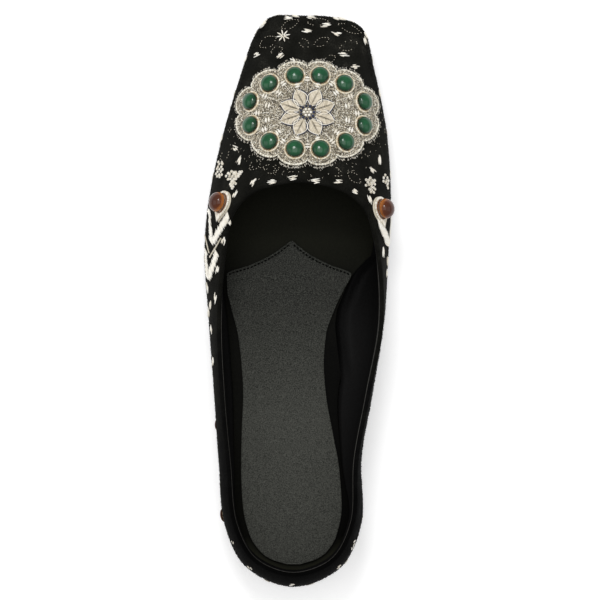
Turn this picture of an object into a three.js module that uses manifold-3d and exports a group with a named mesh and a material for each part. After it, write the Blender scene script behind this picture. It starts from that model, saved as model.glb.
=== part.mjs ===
// A left mule with a square toe and a low back, size EU 38, in millimetres.
// The origin is the middle of the heel's resting face.
// +Y runs to the toe, +X to the inner side of the foot and +Z up.
// Tables measure "back" from the rearmost point of the heel and "side" from the heel's middle line.

import * as THREE from "three";
import { mergeVertices } from "three/addons/utils/BufferGeometryUtils.js";
import Module from "manifold-3d";

const wasm = await Module();
wasm.setup();

// Driving dimensions
const HEEL_CENTRE = 30; // from the back of the heel to the origin
const WALL = 2.2; // velvet, stiffener and lining together
const SEAM = 0.3; // gap that touching pieces keep
const SOLE_THICK = 3.5;
const SOLE_EDGE = 1.0; // how far the outsole stands out past the feather edge of the upper
const SOLE_ROUND = 0.7;
const HEEL_HEIGHT = 9;
const HEEL_LENGTH = 50;
const HEEL_TAPER = 1.2;
const HEEL_BREAST = 5; // depth of the hollow in the heel's front face
const INSOLE_THICK = 2;
const INSOLE_INSET = 2.3; // from the feather edge to the insole's edge
const SOCK_THICK = 1.1;

// Side profile of the sole: height of the outsole's underside above the floor
const SOLE_PROFILE = [
  { back: -5, under: HEEL_HEIGHT },
  { back: 54, under: HEEL_HEIGHT },
  { back: 92, under: 5.6 },
  { back: 124, under: 1.5 },
  { back: 150, under: 0 },
  { back: 188, under: 0 },
  { back: 222, under: 2.2 },
  { back: 262, under: 7.6 },
];

// Radial sections of the upper, from the heel's back along the outer side to the toe,
// and home along the inner side.
// side, back: widest point in plan. under, rise: how far in and below it the feather edge lies.
// climb: share of the section that runs on as a straight slope.
// collar: side, back and height of its top edge.
const SECTIONS = [
  ["heel back", 0.6, 0, 5.5, 13, 0, [0.6, 6.1, 41]],
  ["heel quarter", -20.6, 9.2, 5, 13, 0, [-16.7, 12.7, 40.6]],
  ["heel side", -30, 28, 4.5, 13, 0, [-25.7, 28.8, 39.2]],
  ["back of waist", -32.7, 56, 5.5, 13, 0, [-28.6, 56, 37]],
  ["waist", -34.8, 86, 7, 14, 0, [-31.5, 86, 35.8]],
  ["front of waist", -37.3, 119, 7, 13, 0.05, [-33, 118, 36]],
  ["behind ball", -39.3, 149, 5, 12, 0.1, [-30.9, 147, 39]],
  ["ball", -38.1, 170, 4.5, 11, 0.2, [-26.8, 168, 43.6]],
  ["vamp", -33.2, 196, 4, 10, 0.35, [-17.6, 177.4, 47.6]],
  ["toe side", -23.6, 229.5, 3.5, 9, 0.42, [-8.6, 180.2, 49.2]],
  ["toe corner", -15.9, 250.4, 3.5, 8.5, 0.45, [-3.4, 181.1, 49.7]],
  ["toe front", -9.4, 257.3, 3.5, 8.5, 0.45, [0, 181.5, 49.9]],
  ["toe tip", 5, 258, 3.5, 8.5, 0.45, [3.6, 181.7, 50]],
  ["inner toe front", 20.2, 257.1, 3.5, 8.5, 0.45, [7.4, 181.5, 49.9]],
  ["inner toe corner", 32, 252.4, 3.5, 8.5, 0.45, [11.6, 180.9, 49.6]],
  ["inner toe side", 37.5, 234, 3.5, 9, 0.42, [17.2, 179.8, 48.9]],
  ["inner vamp", 43.3, 205, 4, 10, 0.35, [25.8, 176.6, 46.8]],
  ["inner ball", 45.1, 174, 4.5, 11.5, 0.2, [34.4, 168.4, 42.6]],
  ["behind inner ball", 43.8, 149, 6, 13, 0.1, [40, 147, 38]],
  ["front of arch", 41.9, 120, 12, 16, 0.05, [41.2, 118, 35.4]],
  ["arch", 36.6, 87, 14, 17, 0, [35.2, 86, 35.2]],
  ["back of arch", 31.6, 58, 8, 14.5, 0, [29.8, 57, 36.8]],
  ["inner heel side", 31.6, 28.8, 4.5, 13, 0, [27.9, 28.9, 39]],
  ["inner heel quarter", 22.3, 8.9, 5, 13, 0, [18.6, 12.3, 40.6]],
].map(([at, side, back, under, rise, climb, collar]) => ({ at, side, back, under, rise, climb, collar }));
const FULLNESS = 0.45; // how squarely a section turns from the wall into the top
const FEATHER_ANGLE = 30; // degrees: where the rounded foot of the wall starts
const WIDEST_AT = 0.27; // share of a section's run that lies below its widest point
const STEPS_PER_SECTION = 3;
const STEPS_UP = 10;

// Outline of the sock, from the heel to the pointed front edge
const SOCK_OUTLINE = [
  { back: 9.3, outer: -2, inner: 4 },
  { back: 11.4, outer: -9, inner: 11 },
  { back: 15, outer: -14.2, inner: 16.2 },
  { back: 22.5, outer: -19, inner: 20.6 },
  { back: 35, outer: -22, inner: 22.9 },
  { back: 52, outer: -22.9, inner: 21.8 },
  { back: 70, outer: -22.6, inner: 18.6 },
  { back: 86, outer: -22, inner: 15.8 },
  { back: 100, outer: -22.8, inner: 14.8 },
  { back: 113, outer: -24.4, inner: 15.8 },
  { back: 125, outer: -27.4, inner: 19.8 },
  { back: 134, outer: -29.4, inner: 24 },
  { back: 141, outer: -29.6, inner: 27.4 },
  { back: 145.5, outer: -18, inner: 17 },
  { back: 150, outer: -9, inner: 8.4 },
  { back: 156.2, outer: -0.4, inner: 0.6 },
];

// Medallion on the vamp: a scalloped oval, with a stone in a ring of thread on each scallop
const MEDALLION = { side: 7.2, back: 212.5, halfWidth: 29.6, halfLength: 21, scallop: 3.1, thick: 1 };
const STONE_COUNT = 12;
const SCALLOP_STEPS = 6;
const STONE_INSET = 4; // from the foot of the scallops to the oval through the stones' middles
const STONE_RING = { tube: 0.5, clearance: 0.25 };
const GREEN_STONE = { radius: 3.9, height: 3.1 };

// Teardrop settings and their stones, by section number along the shoe and height up the section
const SHOULDER = { radius: 5.8, tail: 8.8, thick: 1, stone: { radius: 4.5, height: 5 } };
const LOW_WALL = { radius: 4.2, tail: 6.4, thick: 0.6, stone: { radius: 3.1, height: 1.3 } };
const AMBER_SEATS = [
  { name: "outer_shoulder", kind: SHOULDER, section: 7.2, up: 0.82 },
  { name: "inner_shoulder", kind: SHOULDER, section: 17.06, up: 0.8 },
  { name: "outer_wall_front", kind: LOW_WALL, section: 3.55, up: 0.11 },
  { name: "outer_wall_back", kind: LOW_WALL, section: 2.14, up: 0.11 },
];
const STONE_LIFT = 0.55; // keeps a flat stone clear of the curved thread under it
const CUT_REACH = 6; // how far a cutting outline reaches to each side of the layer it cuts

const UP = new THREE.Vector3(0, 0, 1);

// Monotone curve through rows, so that level stretches stay level
function profileCurve(rows, column) {
  const slopes = rows.slice(1).map((row, i) => (row[column] - rows[i][column]) / (row.back - rows[i].back));
  const tangents = rows.map((row, i) => {
    if (i === 0 || i === rows.length - 1) return i === 0 ? slopes[0] : slopes[i - 1];
    const [before, after] = [slopes[i - 1], slopes[i]];
    return before * after <= 0 ? 0 : (2 * before * after) / (before + after);
  });
  return (back) => {
    const last = rows.length - 2;
    const found = rows.findIndex((row, i) => i <= last && back < rows[i + 1].back);
    const i = found < 0 ? last : found;
    const span = rows[i + 1].back - rows[i].back;
    const s = THREE.MathUtils.clamp((back - rows[i].back) / span, 0, 1);
    const start = rows[i][column] * (1 + 2 * s) * (1 - s) ** 2 + tangents[i] * span * s * (1 - s) ** 2;
    return start + rows[i + 1][column] * s * s * (3 - 2 * s) + tangents[i + 1] * span * s * s * (s - 1);
  };
}

const soleUnder = profileCurve(SOLE_PROFILE, "under");
const soleTop = (back) => soleUnder(back) + SOLE_THICK;

function closedCurve(pointOf) {
  return new THREE.CatmullRomCurve3(SECTIONS.map(pointOf), true, "centripetal");
}

const widestLine = closedCurve((s) => new THREE.Vector3(s.side, s.back, 0));
const collarLine = closedCurve((s) => new THREE.Vector3(...s.collar));
const sectionShape = closedCurve((s) => new THREE.Vector3(s.under, s.rise, s.climb));

// Point of the feather edge, where the upper meets the sole, moved inwards in plan
function featherPoint(turn, inset = 0) {
  const along = widestLine.getTangent(turn);
  const inwards = new THREE.Vector3(along.y, -along.x, 0);
  const depth = sectionShape.getPoint(turn).x + inset;
  const point = widestLine.getPoint(turn).addScaledVector(inwards, depth);
  point.z = soleTop(point.y);
  return point;
}

// Outer surface of the upper: turn goes once round the shoe, up goes from the feather edge to the collar
function upperPoint(turn, up) {
  const widest = widestLine.getPoint(turn);
  const shape = sectionShape.getPoint(turn);
  const foot = featherPoint(turn);
  foot.z += SEAM;
  widest.z = foot.z + shape.y;
  if (up < WIDEST_AT) {
    const first = THREE.MathUtils.degToRad(FEATHER_ANGLE);
    const angle = THREE.MathUtils.lerp(first, Math.PI / 2, up / WIDEST_AT);
    const out = (Math.sin(angle) - Math.sin(first)) / (1 - Math.sin(first));
    const rise = 1 - Math.cos(angle) / Math.cos(first);
    return new THREE.Vector3(
      THREE.MathUtils.lerp(foot.x, widest.x, out),
      THREE.MathUtils.lerp(foot.y, widest.y, out),
      THREE.MathUtils.lerp(foot.z, widest.z, rise),
    );
  }
  const run = ((up - WIDEST_AT) / (1 - WIDEST_AT)) ** 2;
  const collar = collarLine.getPoint(turn);
  const rise = (1 - shape.z) * run ** FULLNESS + shape.z * run;
  return new THREE.Vector3(
    THREE.MathUtils.lerp(widest.x, collar.x, run),
    THREE.MathUtils.lerp(widest.y, collar.y, run),
    THREE.MathUtils.lerp(widest.z, collar.z, rise),
  );
}

// Place, outward normal and direction of travel at a spot on the upper
function upperSeat(turn, up) {
  const step = 2e-3;
  const around = upperPoint((turn + step) % 1, up).sub(upperPoint((turn - step + 1) % 1, up));
  const upwards = upperPoint(turn, Math.min(1, up + step)).sub(upperPoint(turn, Math.max(0, up - step)));
  return {
    point: upperPoint(turn, up),
    normal: upwards.cross(around.clone()).normalize(),
    along: around.normalize(),
  };
}

// Turns loops of points into one closed solid: joined end to end, or capped at both ends
function loft(rings, { closed = false } = {}) {
  const count = rings[0].length;
  const points = rings.flat();
  const faces = [];
  const spans = closed ? rings.length : rings.length - 1;
  for (let i = 0; i < spans; i += 1) {
    const here = i * count;
    const next = ((i + 1) % rings.length) * count;
    for (let j = 0; j < count; j += 1) {
      const k = (j + 1) % count;
      faces.push([here + j, next + j, next + k], [here + j, next + k, here + k]);
    }
  }
  if (!closed) {
    for (const [ring, flip] of [[0, false], [rings.length - 1, true]]) {
      const middle = points.length;
      points.push(rings[ring].reduce((sum, p) => sum.add(p), new THREE.Vector3()).divideScalar(count));
      for (let j = 0; j < count; j += 1) {
        const edge = [ring * count + j, ring * count + ((j + 1) % count)];
        faces.push(flip ? [middle, ...edge.reverse()] : [middle, ...edge]);
      }
    }
  }
  return facingOut(new THREE.BufferGeometry().setFromPoints(points).setIndex(faces.flat()));
}

// Merges shared vertices, drops slivers at poles and turns a geometry the right way out
function facingOut(geometry) {
  const bare = new THREE.BufferGeometry();
  bare.setAttribute("position", geometry.getAttribute("position").clone());
  bare.setIndex(geometry.index);
  const merged = mergeVertices(bare, 1e-4);
  const corners = (i) => [0, 1, 2].map((k) => merged.index.getX(i + k));
  const spot = (v) => new THREE.Vector3().fromBufferAttribute(merged.attributes.position, v);
  const faces = [];
  let volume = 0;
  for (let i = 0; i < merged.index.count; i += 3) {
    const [a, b, c] = corners(i);
    if (a === b || b === c || c === a) continue;
    faces.push([a, b, c]);
    volume += spot(a).dot(spot(b).cross(spot(c)));
  }
  merged.setIndex(faces.flatMap((face) => (volume < 0 ? face.toReversed() : face)));
  return merged;
}

function toSolid(geometry) {
  const vertProperties = new Float32Array(geometry.attributes.position.array);
  const triVerts = new Uint32Array(geometry.index.array);
  return new wasm.Manifold(new wasm.Mesh({ numProp: 3, vertProperties, triVerts }));
}

function toGeometry(solid) {
  const mesh = solid.getMesh();
  return new THREE.BufferGeometry()
    .setAttribute("position", new THREE.BufferAttribute(mesh.vertProperties, 3))
    .setIndex(new THREE.BufferAttribute(mesh.triVerts, 1));
}

// The form of the upper between two distances from its outer surface
function upperLayer(inside, outside) {
  const turns = SECTIONS.length * STEPS_PER_SECTION;
  const rings = Array.from({ length: turns }, (_, i) => {
    const seats = Array.from({ length: STEPS_UP + 1 }, (__, j) => upperSeat(i / turns, j / STEPS_UP));
    const at = (seat, distance) => seat.point.clone().addScaledVector(seat.normal, distance);
    return [...seats.map((seat) => at(seat, outside)), ...seats.map((seat) => at(seat, inside)).reverse()];
  });
  return loft(rings, { closed: true });
}

// Pairs of points across the foot, outer side and inner side, from the heel to the toe
function crossPairs(inset, count) {
  return Array.from({ length: count + 1 }, (_, i) => {
    const turn = THREE.MathUtils.lerp(0.004, 0.496, i / count);
    return [featherPoint(turn, inset), featherPoint(1 - turn, inset)];
  });
}

// Section of a flat layer between two edge points, with rounded corners
function layerRing([outer, inner], bottom, top, round) {
  const across = inner.clone().sub(outer).setZ(0);
  const inset = Math.min(round, across.length() / 4) / across.length();
  const spot = (share, height) => {
    const point = outer.clone().lerp(inner, share);
    return point.setZ(height(point.y));
  };
  const low = (back) => bottom(back) + round;
  const high = (back) => top(back) - round;
  return [
    spot(inset, bottom),
    spot(1 - inset, bottom),
    spot(1, low),
    spot(1, high),
    spot(1 - inset, top),
    spot(inset, top),
    spot(0, high),
    spot(0, low),
  ];
}

function outsoleGeometry() {
  const pairs = crossPairs(-SOLE_EDGE, 44);
  return loft(pairs.map((pair) => layerRing(pair, soleUnder, soleTop, SOLE_ROUND)));
}

function insoleGeometry() {
  const bottom = (back) => soleTop(back) + SEAM;
  const top = (back) => bottom(back) + INSOLE_THICK;
  return loft(crossPairs(INSOLE_INSET, 40).map((pair) => layerRing(pair, bottom, top, 0.4)));
}

function sockGeometry() {
  const bottom = (back) => soleTop(back) + INSOLE_THICK + 2 * SEAM;
  const top = (back) => bottom(back) + SOCK_THICK;
  const outer = profileCurve(SOCK_OUTLINE, "outer");
  const inner = profileCurve(SOCK_OUTLINE, "inner");
  const rings = SOCK_OUTLINE.slice(1).flatMap((row, i) => {
    const backs = [0, 0.5].map((share) => THREE.MathUtils.lerp(SOCK_OUTLINE[i].back, row.back, share));
    return i === SOCK_OUTLINE.length - 2 ? [...backs, row.back] : backs;
  });
  return loft(
    rings.map((back) => {
      const pair = [new THREE.Vector3(outer(back), back, 0), new THREE.Vector3(inner(back), back, 0)];
      return layerRing(pair, bottom, top, 0.3);
    }),
  );
}

// Heel block: follows the outsole's edge, tapers to the floor, and is hollowed in front
function heelGeometry() {
  const sides = crossPairs(SEAM - SOLE_EDGE, 60).filter(([outer]) => outer.y < HEEL_LENGTH);
  const outer = sides.map((pair) => pair[0]);
  const inner = sides.map((pair) => pair[1]).toReversed();
  const breast = [0.2, 0.35, 0.5, 0.65, 0.8].map((share) => {
    const point = outer.at(-1).clone().lerp(inner[0], share);
    point.y -= HEEL_BREAST * (1 - (2 * share - 1) ** 2);
    return point;
  });
  const middle = new THREE.Vector3(0, HEEL_CENTRE, 0);
  const level = (height, inset) => (point) => {
    const inwards = middle.clone().sub(point).setZ(0).normalize();
    return point.clone().addScaledVector(inwards, inset).setZ(height);
  };
  const outline = [...outer, ...breast, ...inner];
  return loft([outline.map(level(0, HEEL_TAPER)), outline.map(level(HEEL_HEIGHT - SEAM, 0))]);
}

const upperSkin = new THREE.Mesh(upperLayer(0, 0.01));

// Seat on the upper straight below a point of the plan
function seatBelow(plan) {
  const caster = new THREE.Raycaster(new THREE.Vector3(plan.x, plan.y, 200), UP.clone().negate());
  const place = caster.intersectObject(upperSkin)[0].point;
  const step = 1.5;
  const slope = [new THREE.Vector3(step, 0, 0), new THREE.Vector3(0, step, 0)].map((move) => {
    caster.ray.origin.set(place.x + move.x, place.y + move.y, 200);
    const ahead = caster.intersectObject(upperSkin)[0].point;
    caster.ray.origin.set(place.x - move.x, place.y - move.y, 200);
    return ahead.sub(caster.intersectObject(upperSkin)[0].point);
  });
  return { point: place, normal: slope[0].cross(slope[1]).normalize() };
}

function placed(geometry, seat, lift) {
  const turn = new THREE.Quaternion().setFromUnitVectors(UP, seat.normal);
  const place = seat.point.clone().addScaledVector(seat.normal, lift);
  const move = new THREE.Matrix4().compose(place, turn, new THREE.Vector3(1, 1, 1));
  return geometry.clone().applyMatrix4(move);
}

// Domed stone with a flat back
function stoneGeometry({ radius, height }) {
  const girdle = 0.25 * height;
  const steps = 4;
  const dome = Array.from({ length: steps + 1 }, (_, i) => {
    const angle = (i / steps) * (Math.PI / 2);
    return new THREE.Vector2(radius * Math.cos(angle), girdle + (height - girdle) * Math.sin(angle));
  });
  dome[steps].x = 0;
  const profile = [new THREE.Vector2(0, 0), new THREE.Vector2(0.9 * radius, 0), ...dome];
  return facingOut(new THREE.LatheGeometry(profile, 12).rotateX(Math.PI / 2));
}

function stoneRing(stone) {
  const across = stone.radius + STONE_RING.clearance + STONE_RING.tube;
  return facingOut(new THREE.TorusGeometry(across, STONE_RING.tube, 4, 12));
}

// Oval inside the medallion's edge
function medallionOval(inset) {
  const { side, back, halfWidth, halfLength } = MEDALLION;
  return new THREE.EllipseCurve(side, back, halfWidth - inset, halfLength - inset);
}

const stoneSeats = Array.from({ length: STONE_COUNT }, (_, i) =>
  seatBelow(medallionOval(STONE_INSET).getPointAt((i + 0.5) / STONE_COUNT)),
);

// The medallion is cut by its scalloped outline from a layer that lies on the upper
function medallionGeometry() {
  const oval = medallionOval(0);
  const steps = STONE_COUNT * SCALLOP_STEPS;
  const outline = Array.from({ length: steps }, (_, i) => {
    const along = oval.getTangentAt(i / steps);
    const bulge = MEDALLION.scallop * Math.sqrt(Math.abs(Math.sin((i / SCALLOP_STEPS) * Math.PI)));
    return oval.getPointAt(i / steps).add(new THREE.Vector2(along.y, -along.x).multiplyScalar(bulge));
  });
  const reach = { lowest: 16, depth: 44 };
  const options = { depth: reach.depth, bevelEnabled: false };
  const column = new THREE.ExtrudeGeometry(new THREE.Shape(outline), options);
  const cutter = toSolid(facingOut(column.translate(0, 0, reach.lowest)));
  const layer = toSolid(upperLayer(SEAM, SEAM + MEDALLION.thick));
  const ring = stoneRing(GREEN_STONE);
  const rings = stoneSeats.map((seat) => toSolid(placed(ring, seat, SEAM + MEDALLION.thick)));
  return toGeometry(rings.reduce((panel, raised) => panel.add(raised), layer.intersect(cutter)));
}

// Teardrop outline with its point at -Y
function teardrop({ radius, tail }) {
  const shape = new THREE.Shape();
  const lean = Math.asin(radius / tail);
  shape.absarc(0, 0, radius, -lean, Math.PI + lean, false);
  shape.lineTo(0, -tail);
  return shape;
}

function amberSeat({ section, up }) {
  return upperSeat(section / SECTIONS.length, up);
}

// A setting is cut from the layer on the upper by a teardrop that points to the heel
function settingGeometry(place) {
  const seat = amberSeat(place);
  const toToe = seat.along.y > 0 ? seat.along : seat.along.clone().negate();
  const across = toToe.clone().cross(seat.normal).normalize();
  const turn = new THREE.Matrix4().makeBasis(across, seat.normal.clone().cross(across), seat.normal);
  turn.setPosition(seat.point);
  const options = { depth: 2 * CUT_REACH, bevelEnabled: false, curveSegments: 12 };
  const block = new THREE.ExtrudeGeometry(teardrop(place.kind), options).translate(0, 0, -CUT_REACH);
  const layer = toSolid(upperLayer(SEAM, SEAM + place.kind.thick));
  return toGeometry(layer.intersect(toSolid(facingOut(block.applyMatrix4(turn)))));
}

function finish(colour, roughness, metalness = 0) {
  return new THREE.MeshStandardMaterial({ color: colour, roughness, metalness });
}

const MATERIALS = {
  velvet: finish(0x141313, 0.95),
  lining: finish(0x1a1b17, 0.6),
  sock: finish(0x3b3c38, 0.65),
  sole: finish(0x1c1a18, 0.55),
  thread: finish(0xb9aea0, 0.6, 0.2),
  ivory: finish(0xe9e2d2, 0.75),
  green: finish(0x1f5c43, 0.15),
  amber: finish(0x8a4a1c, 0.12),
};

const shoe = new THREE.Group();
shoe.position.y = -HEEL_CENTRE;

function add(name, geometry, material) {
  const mesh = new THREE.Mesh(geometry, material);
  mesh.name = name;
  shoe.add(mesh);
  return mesh;
}

function addStone(name, stone, seat, lift, material) {
  const mesh = add(name, stoneGeometry(stone), material);
  mesh.quaternion.setFromUnitVectors(UP, seat.normal);
  mesh.position.copy(seat.point).addScaledVector(seat.normal, lift);
}

add("upper", upperLayer(-WALL, 0), MATERIALS.velvet);
add("outsole", outsoleGeometry(), MATERIALS.sole);
add("heel", heelGeometry(), MATERIALS.sole);
add("insole", insoleGeometry(), MATERIALS.lining);
add("sock", sockGeometry(), MATERIALS.sock);
add("medallion", medallionGeometry(), MATERIALS.thread);
stoneSeats.forEach((seat, i) => {
  const name = `green_stone_${String(i + 1).padStart(2, "0")}`;
  addStone(name, GREEN_STONE, seat, SEAM + MEDALLION.thick + STONE_LIFT, MATERIALS.green);
});
for (const place of AMBER_SEATS) {
  const { thick, stone } = place.kind;
  add(`amber_setting_${place.name}`, settingGeometry(place), MATERIALS.ivory);
  const lift = SEAM + thick + STONE_LIFT;
  addStone(`amber_stone_${place.name}`, stone, amberSeat(place), lift, MATERIALS.amber);
}

export default shoe;
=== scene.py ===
# %% [markdown]
# # A low-backed velvet mule
# The shoe is black velvet over a square-toed last, lined in black leather, with a grey leather sock,
# a jewelled oval of silver thread on the vamp, and ivory stitches over the rest.
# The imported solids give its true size. Every visible piece is made again here with the detail of the
# real one, in the same place, so nothing has to be fitted afterwards.

import math

import bpy
import numpy as np
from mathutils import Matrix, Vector
from mathutils.bvhtree import BVHTree


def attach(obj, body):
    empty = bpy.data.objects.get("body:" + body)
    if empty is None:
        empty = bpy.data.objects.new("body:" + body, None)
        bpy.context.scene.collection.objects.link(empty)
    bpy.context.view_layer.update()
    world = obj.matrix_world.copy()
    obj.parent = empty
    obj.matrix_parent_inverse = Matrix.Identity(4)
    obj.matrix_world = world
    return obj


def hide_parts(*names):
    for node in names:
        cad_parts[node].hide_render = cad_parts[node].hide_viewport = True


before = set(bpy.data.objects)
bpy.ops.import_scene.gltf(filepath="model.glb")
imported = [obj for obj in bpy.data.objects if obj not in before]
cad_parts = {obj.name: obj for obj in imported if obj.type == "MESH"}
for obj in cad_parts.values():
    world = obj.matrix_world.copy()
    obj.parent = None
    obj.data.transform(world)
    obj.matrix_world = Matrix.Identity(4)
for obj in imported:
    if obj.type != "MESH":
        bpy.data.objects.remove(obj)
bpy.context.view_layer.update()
MM = 0.001
rng = np.random.default_rng(38)
print("nodes in the frame:", len(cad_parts))

# %% [markdown]
# ## Camera, floor and light
# The photograph looks straight down on the shoe, toe upwards, from well above, on white.
# A long lens from 1.6 m keeps the near toe and the far heel at nearly one scale.
# A key light over the toe puts one small window in each stone and lays a soft shadow behind the heel.
# A wide soft box above and weak fills at the sides give velvet its rim of light.

# %% Camera
HEEL_CENTRE = 30.0  # from the back of the heel to the frame's origin
EYE_HEIGHT = 1620.0
EYE_OVER = (3.9, 129.2)  # side and distance from the back of the heel
VIEW_WIDTH = 271.6  # mm that the picture shows at the height of the footbed
FOOTBED_HEIGHT = 20.0
SENSOR_WIDTH = 36.0


def place(side, back, height):
    """Millimetres on the shoe, measured from the back of the heel, to the frame's metres."""
    return Vector((side * MM, (back - HEEL_CENTRE) * MM, height * MM))


camera_data = bpy.data.cameras.new("camera_above")
camera_data.sensor_width = SENSOR_WIDTH
camera_data.lens = SENSOR_WIDTH * (EYE_HEIGHT - FOOTBED_HEIGHT) / VIEW_WIDTH
camera = bpy.data.objects.new("camera_above", camera_data)
camera.location = place(*EYE_OVER, EYE_HEIGHT)
bpy.context.collection.objects.link(camera)
bpy.context.scene.camera = camera
bpy.context.scene.view_settings.view_transform = "Standard"
print("lens", round(camera_data.lens), "mm")

# %% Light
LIGHTS = (
    # name, place in metres, size in metres, watts
    ("key_from_toe", (-0.12, 0.78, 1.15), 0.36, 5.0),
    ("soft_box_above", (0.0, 0.3, 1.9), 1.6, 11.0),
    ("fill_outer_side", (-1.3, 0.1, 1.0), 1.1, 3.0),
    ("fill_inner_side", (1.3, 0.1, 1.0), 1.1, 2.0),
)
LIGHT_AIM = Vector((0.0, 0.1, 0.02))
ROOM_LIGHT = 0.4
for name, spot, size, watts in LIGHTS:
    lamp = bpy.data.lights.new(name, "AREA")
    lamp.size = size
    lamp.energy = watts
    lamp_object = bpy.data.objects.new(name, lamp)
    lamp_object.location = spot
    lamp_object.rotation_euler = (LIGHT_AIM - Vector(spot)).to_track_quat("-Z", "Y").to_euler()
    bpy.context.collection.objects.link(lamp_object)
world = bpy.data.worlds.new("studio")
world.use_nodes = True
background = world.node_tree.nodes["Background"]
background.inputs["Color"].default_value = (1.0, 1.0, 1.0, 1.0)
background.inputs["Strength"].default_value = ROOM_LIGHT
bpy.context.scene.world = world
print("lights:", len(LIGHTS))

# %% [markdown]
# ## Finishes
# Each finish starts from the real material and is built from a few nodes.
# Colours are written as sRGB hex, and one function turns them into the linear values that the shader wants.
# Patterns read Object coordinates in metres, so a scale is one over the real size of a grain or a thread.
# Where a colour follows the piece, as with painted light and sheen on the velvet's nap or painted light and
# shade on leather, the piece holds it as its paint.

# %% Helpers for finishes


def linear(hex_colour):
    """sRGB hex to linear RGBA."""
    channels = [int(hex_colour[i : i + 2], 16) / 255 for i in (1, 3, 5)]
    return tuple(c / 12.92 if c <= 0.04045 else ((c + 0.055) / 1.055) ** 2.4 for c in channels) + (1.0,)


def put(tree, kind, values=None, links=None, stops=(), **settings):
    """Adds one node, with its settings, constant inputs, links and the stops of a colour ramp.
    A link comes from a socket, or from the first output of a node."""
    node = tree.nodes.new(kind)
    for key, value in settings.items():
        setattr(node, key, value)
    for socket, value in (values or {}).items():
        node.inputs[socket].default_value = value
    for socket, source in (links or {}).items():
        tree.links.new(getattr(source, "outputs", (source,))[0], node.inputs[socket])
    if stops:
        elements = node.color_ramp.elements
        while len(elements) < len(stops):
            elements.new(0.5)
        for element, (position, colour) in zip(elements, stops):
            element.position = position
            element.color = linear(colour)
    return node


def new_finish(name, **constants):
    """A material with its shader and Object coordinates; constants go on the shader's own sockets."""
    material = bpy.data.materials.new(name)
    material.use_nodes = True
    tree = material.node_tree
    shader = tree.nodes["Principled BSDF"]
    for socket, value in constants.items():
        shader.inputs[socket.replace("_", " ")].default_value = value
    return material, tree, shader, put(tree, "ShaderNodeTexCoord").outputs["Object"]


def per(size_mm):
    """Scale of a pattern whose features are about size_mm wide."""
    return 1.0 / (size_mm * MM)


def dress(tree, shader, colour, relief=None):
    """Gives the shader its colour and its relief."""
    tree.links.new(colour.outputs[0], shader.inputs["Base Color"])
    if relief:
        tree.links.new(relief.outputs[0], shader.inputs["Normal"])


print("mid grey in linear light:", round(linear("#808080")[0], 3))

# %% Cloth, leather and sole finishes


def cotton_velvet():
    """Black cotton velvet: a cut pile that swallows light face on and glints grey where it turns away."""
    material, tree, shader, spot = new_finish(
        "black_cotton_velvet",
        Roughness=0.95,
        Specular_IOR_Level=0.05,
        Sheen_Weight=0.011,
        Sheen_Roughness=0.35,
        Sheen_Tint=linear("#d9d6d2"),
    )
    nap = put(tree, "ShaderNodeTexNoise", {"Scale": per(7.0), "Detail": 3.0}, {"Vector": spot})
    # real pile is finer; it is drawn as coarse as the picture can show
    pile = put(tree, "ShaderNodeTexNoise", {"Scale": per(0.55), "Detail": 2.0}, {"Vector": spot})
    both = put(tree, "ShaderNodeMath", None, {0: nap, 1: pile}, operation="MULTIPLY")
    # painted light and sheen: the paint makes the nap lighter towards the toe and darker at the heel and
    # where it rolls over
    painted_light = put(tree, "ShaderNodeAttribute", attribute_name="paint").outputs["Fac"]
    tone = put(tree, "ShaderNodeMath", {1: 0.5}, {0: painted_light, 2: both}, operation="MULTIPLY_ADD")
    stops = (
        (0.12, "#020202"),
        (0.32, "#040404"),
        (0.5, "#0a0a0a"),
        (0.62, "#11110e"),
        (0.82, "#1b1b18"),
        (1.0, "#33322d"),
    )
    colour = put(tree, "ShaderNodeValToRGB", None, {"Fac": tone}, stops)
    relief = put(tree, "ShaderNodeBump", {"Strength": 0.7, "Distance": 0.25 * MM}, {"Height": pile})
    dress(tree, shader, colour, relief)
    return material


def leather(name, dark, light, roughness, grain_mm, depth_mm, gloss=0.4, fleck=None):
    """Dyed leather: a pebbled grain with fine pores, satin where it is finished.
    With a fleck, its depth of colour is the piece's paint, which holds painted light and shade."""
    material, tree, shader, spot = new_finish(name, Roughness=roughness, Specular_IOR_Level=gloss)
    tone = put(tree, "ShaderNodeTexNoise", {"Scale": per(grain_mm), "Detail": 1.0}, {"Vector": spot})
    stops = ((0.36, dark), (0.64, light))
    if fleck:
        # the paint is painted light and shade on the piece
        depth = put(tree, "ShaderNodeAttribute", attribute_name="paint").outputs["Fac"]
        spots = put(tree, "ShaderNodeMath", {1: fleck, 2: -0.5 * fleck}, {0: tone}, operation="MULTIPLY_ADD")
        tone = put(tree, "ShaderNodeMath", None, {0: depth, 1: spots}, operation="ADD")
        stops = ((0.0, dark), (1.0, light))
    colour = put(tree, "ShaderNodeValToRGB", None, {"Fac": tone}, stops)
    pebbles = put(tree, "ShaderNodeTexVoronoi", {"Scale": per(grain_mm)}, {"Vector": spot})
    pores = put(tree, "ShaderNodeTexNoise", {"Scale": per(0.4 * grain_mm), "Detail": 2.0}, {"Vector": spot})
    both = put(tree, "ShaderNodeMath", None, {0: pebbles, 1: pores}, operation="ADD")
    relief = put(tree, "ShaderNodeBump", {"Strength": 0.6, "Distance": depth_mm * MM}, {"Height": both})
    dress(tree, shader, colour, relief)
    return material


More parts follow.
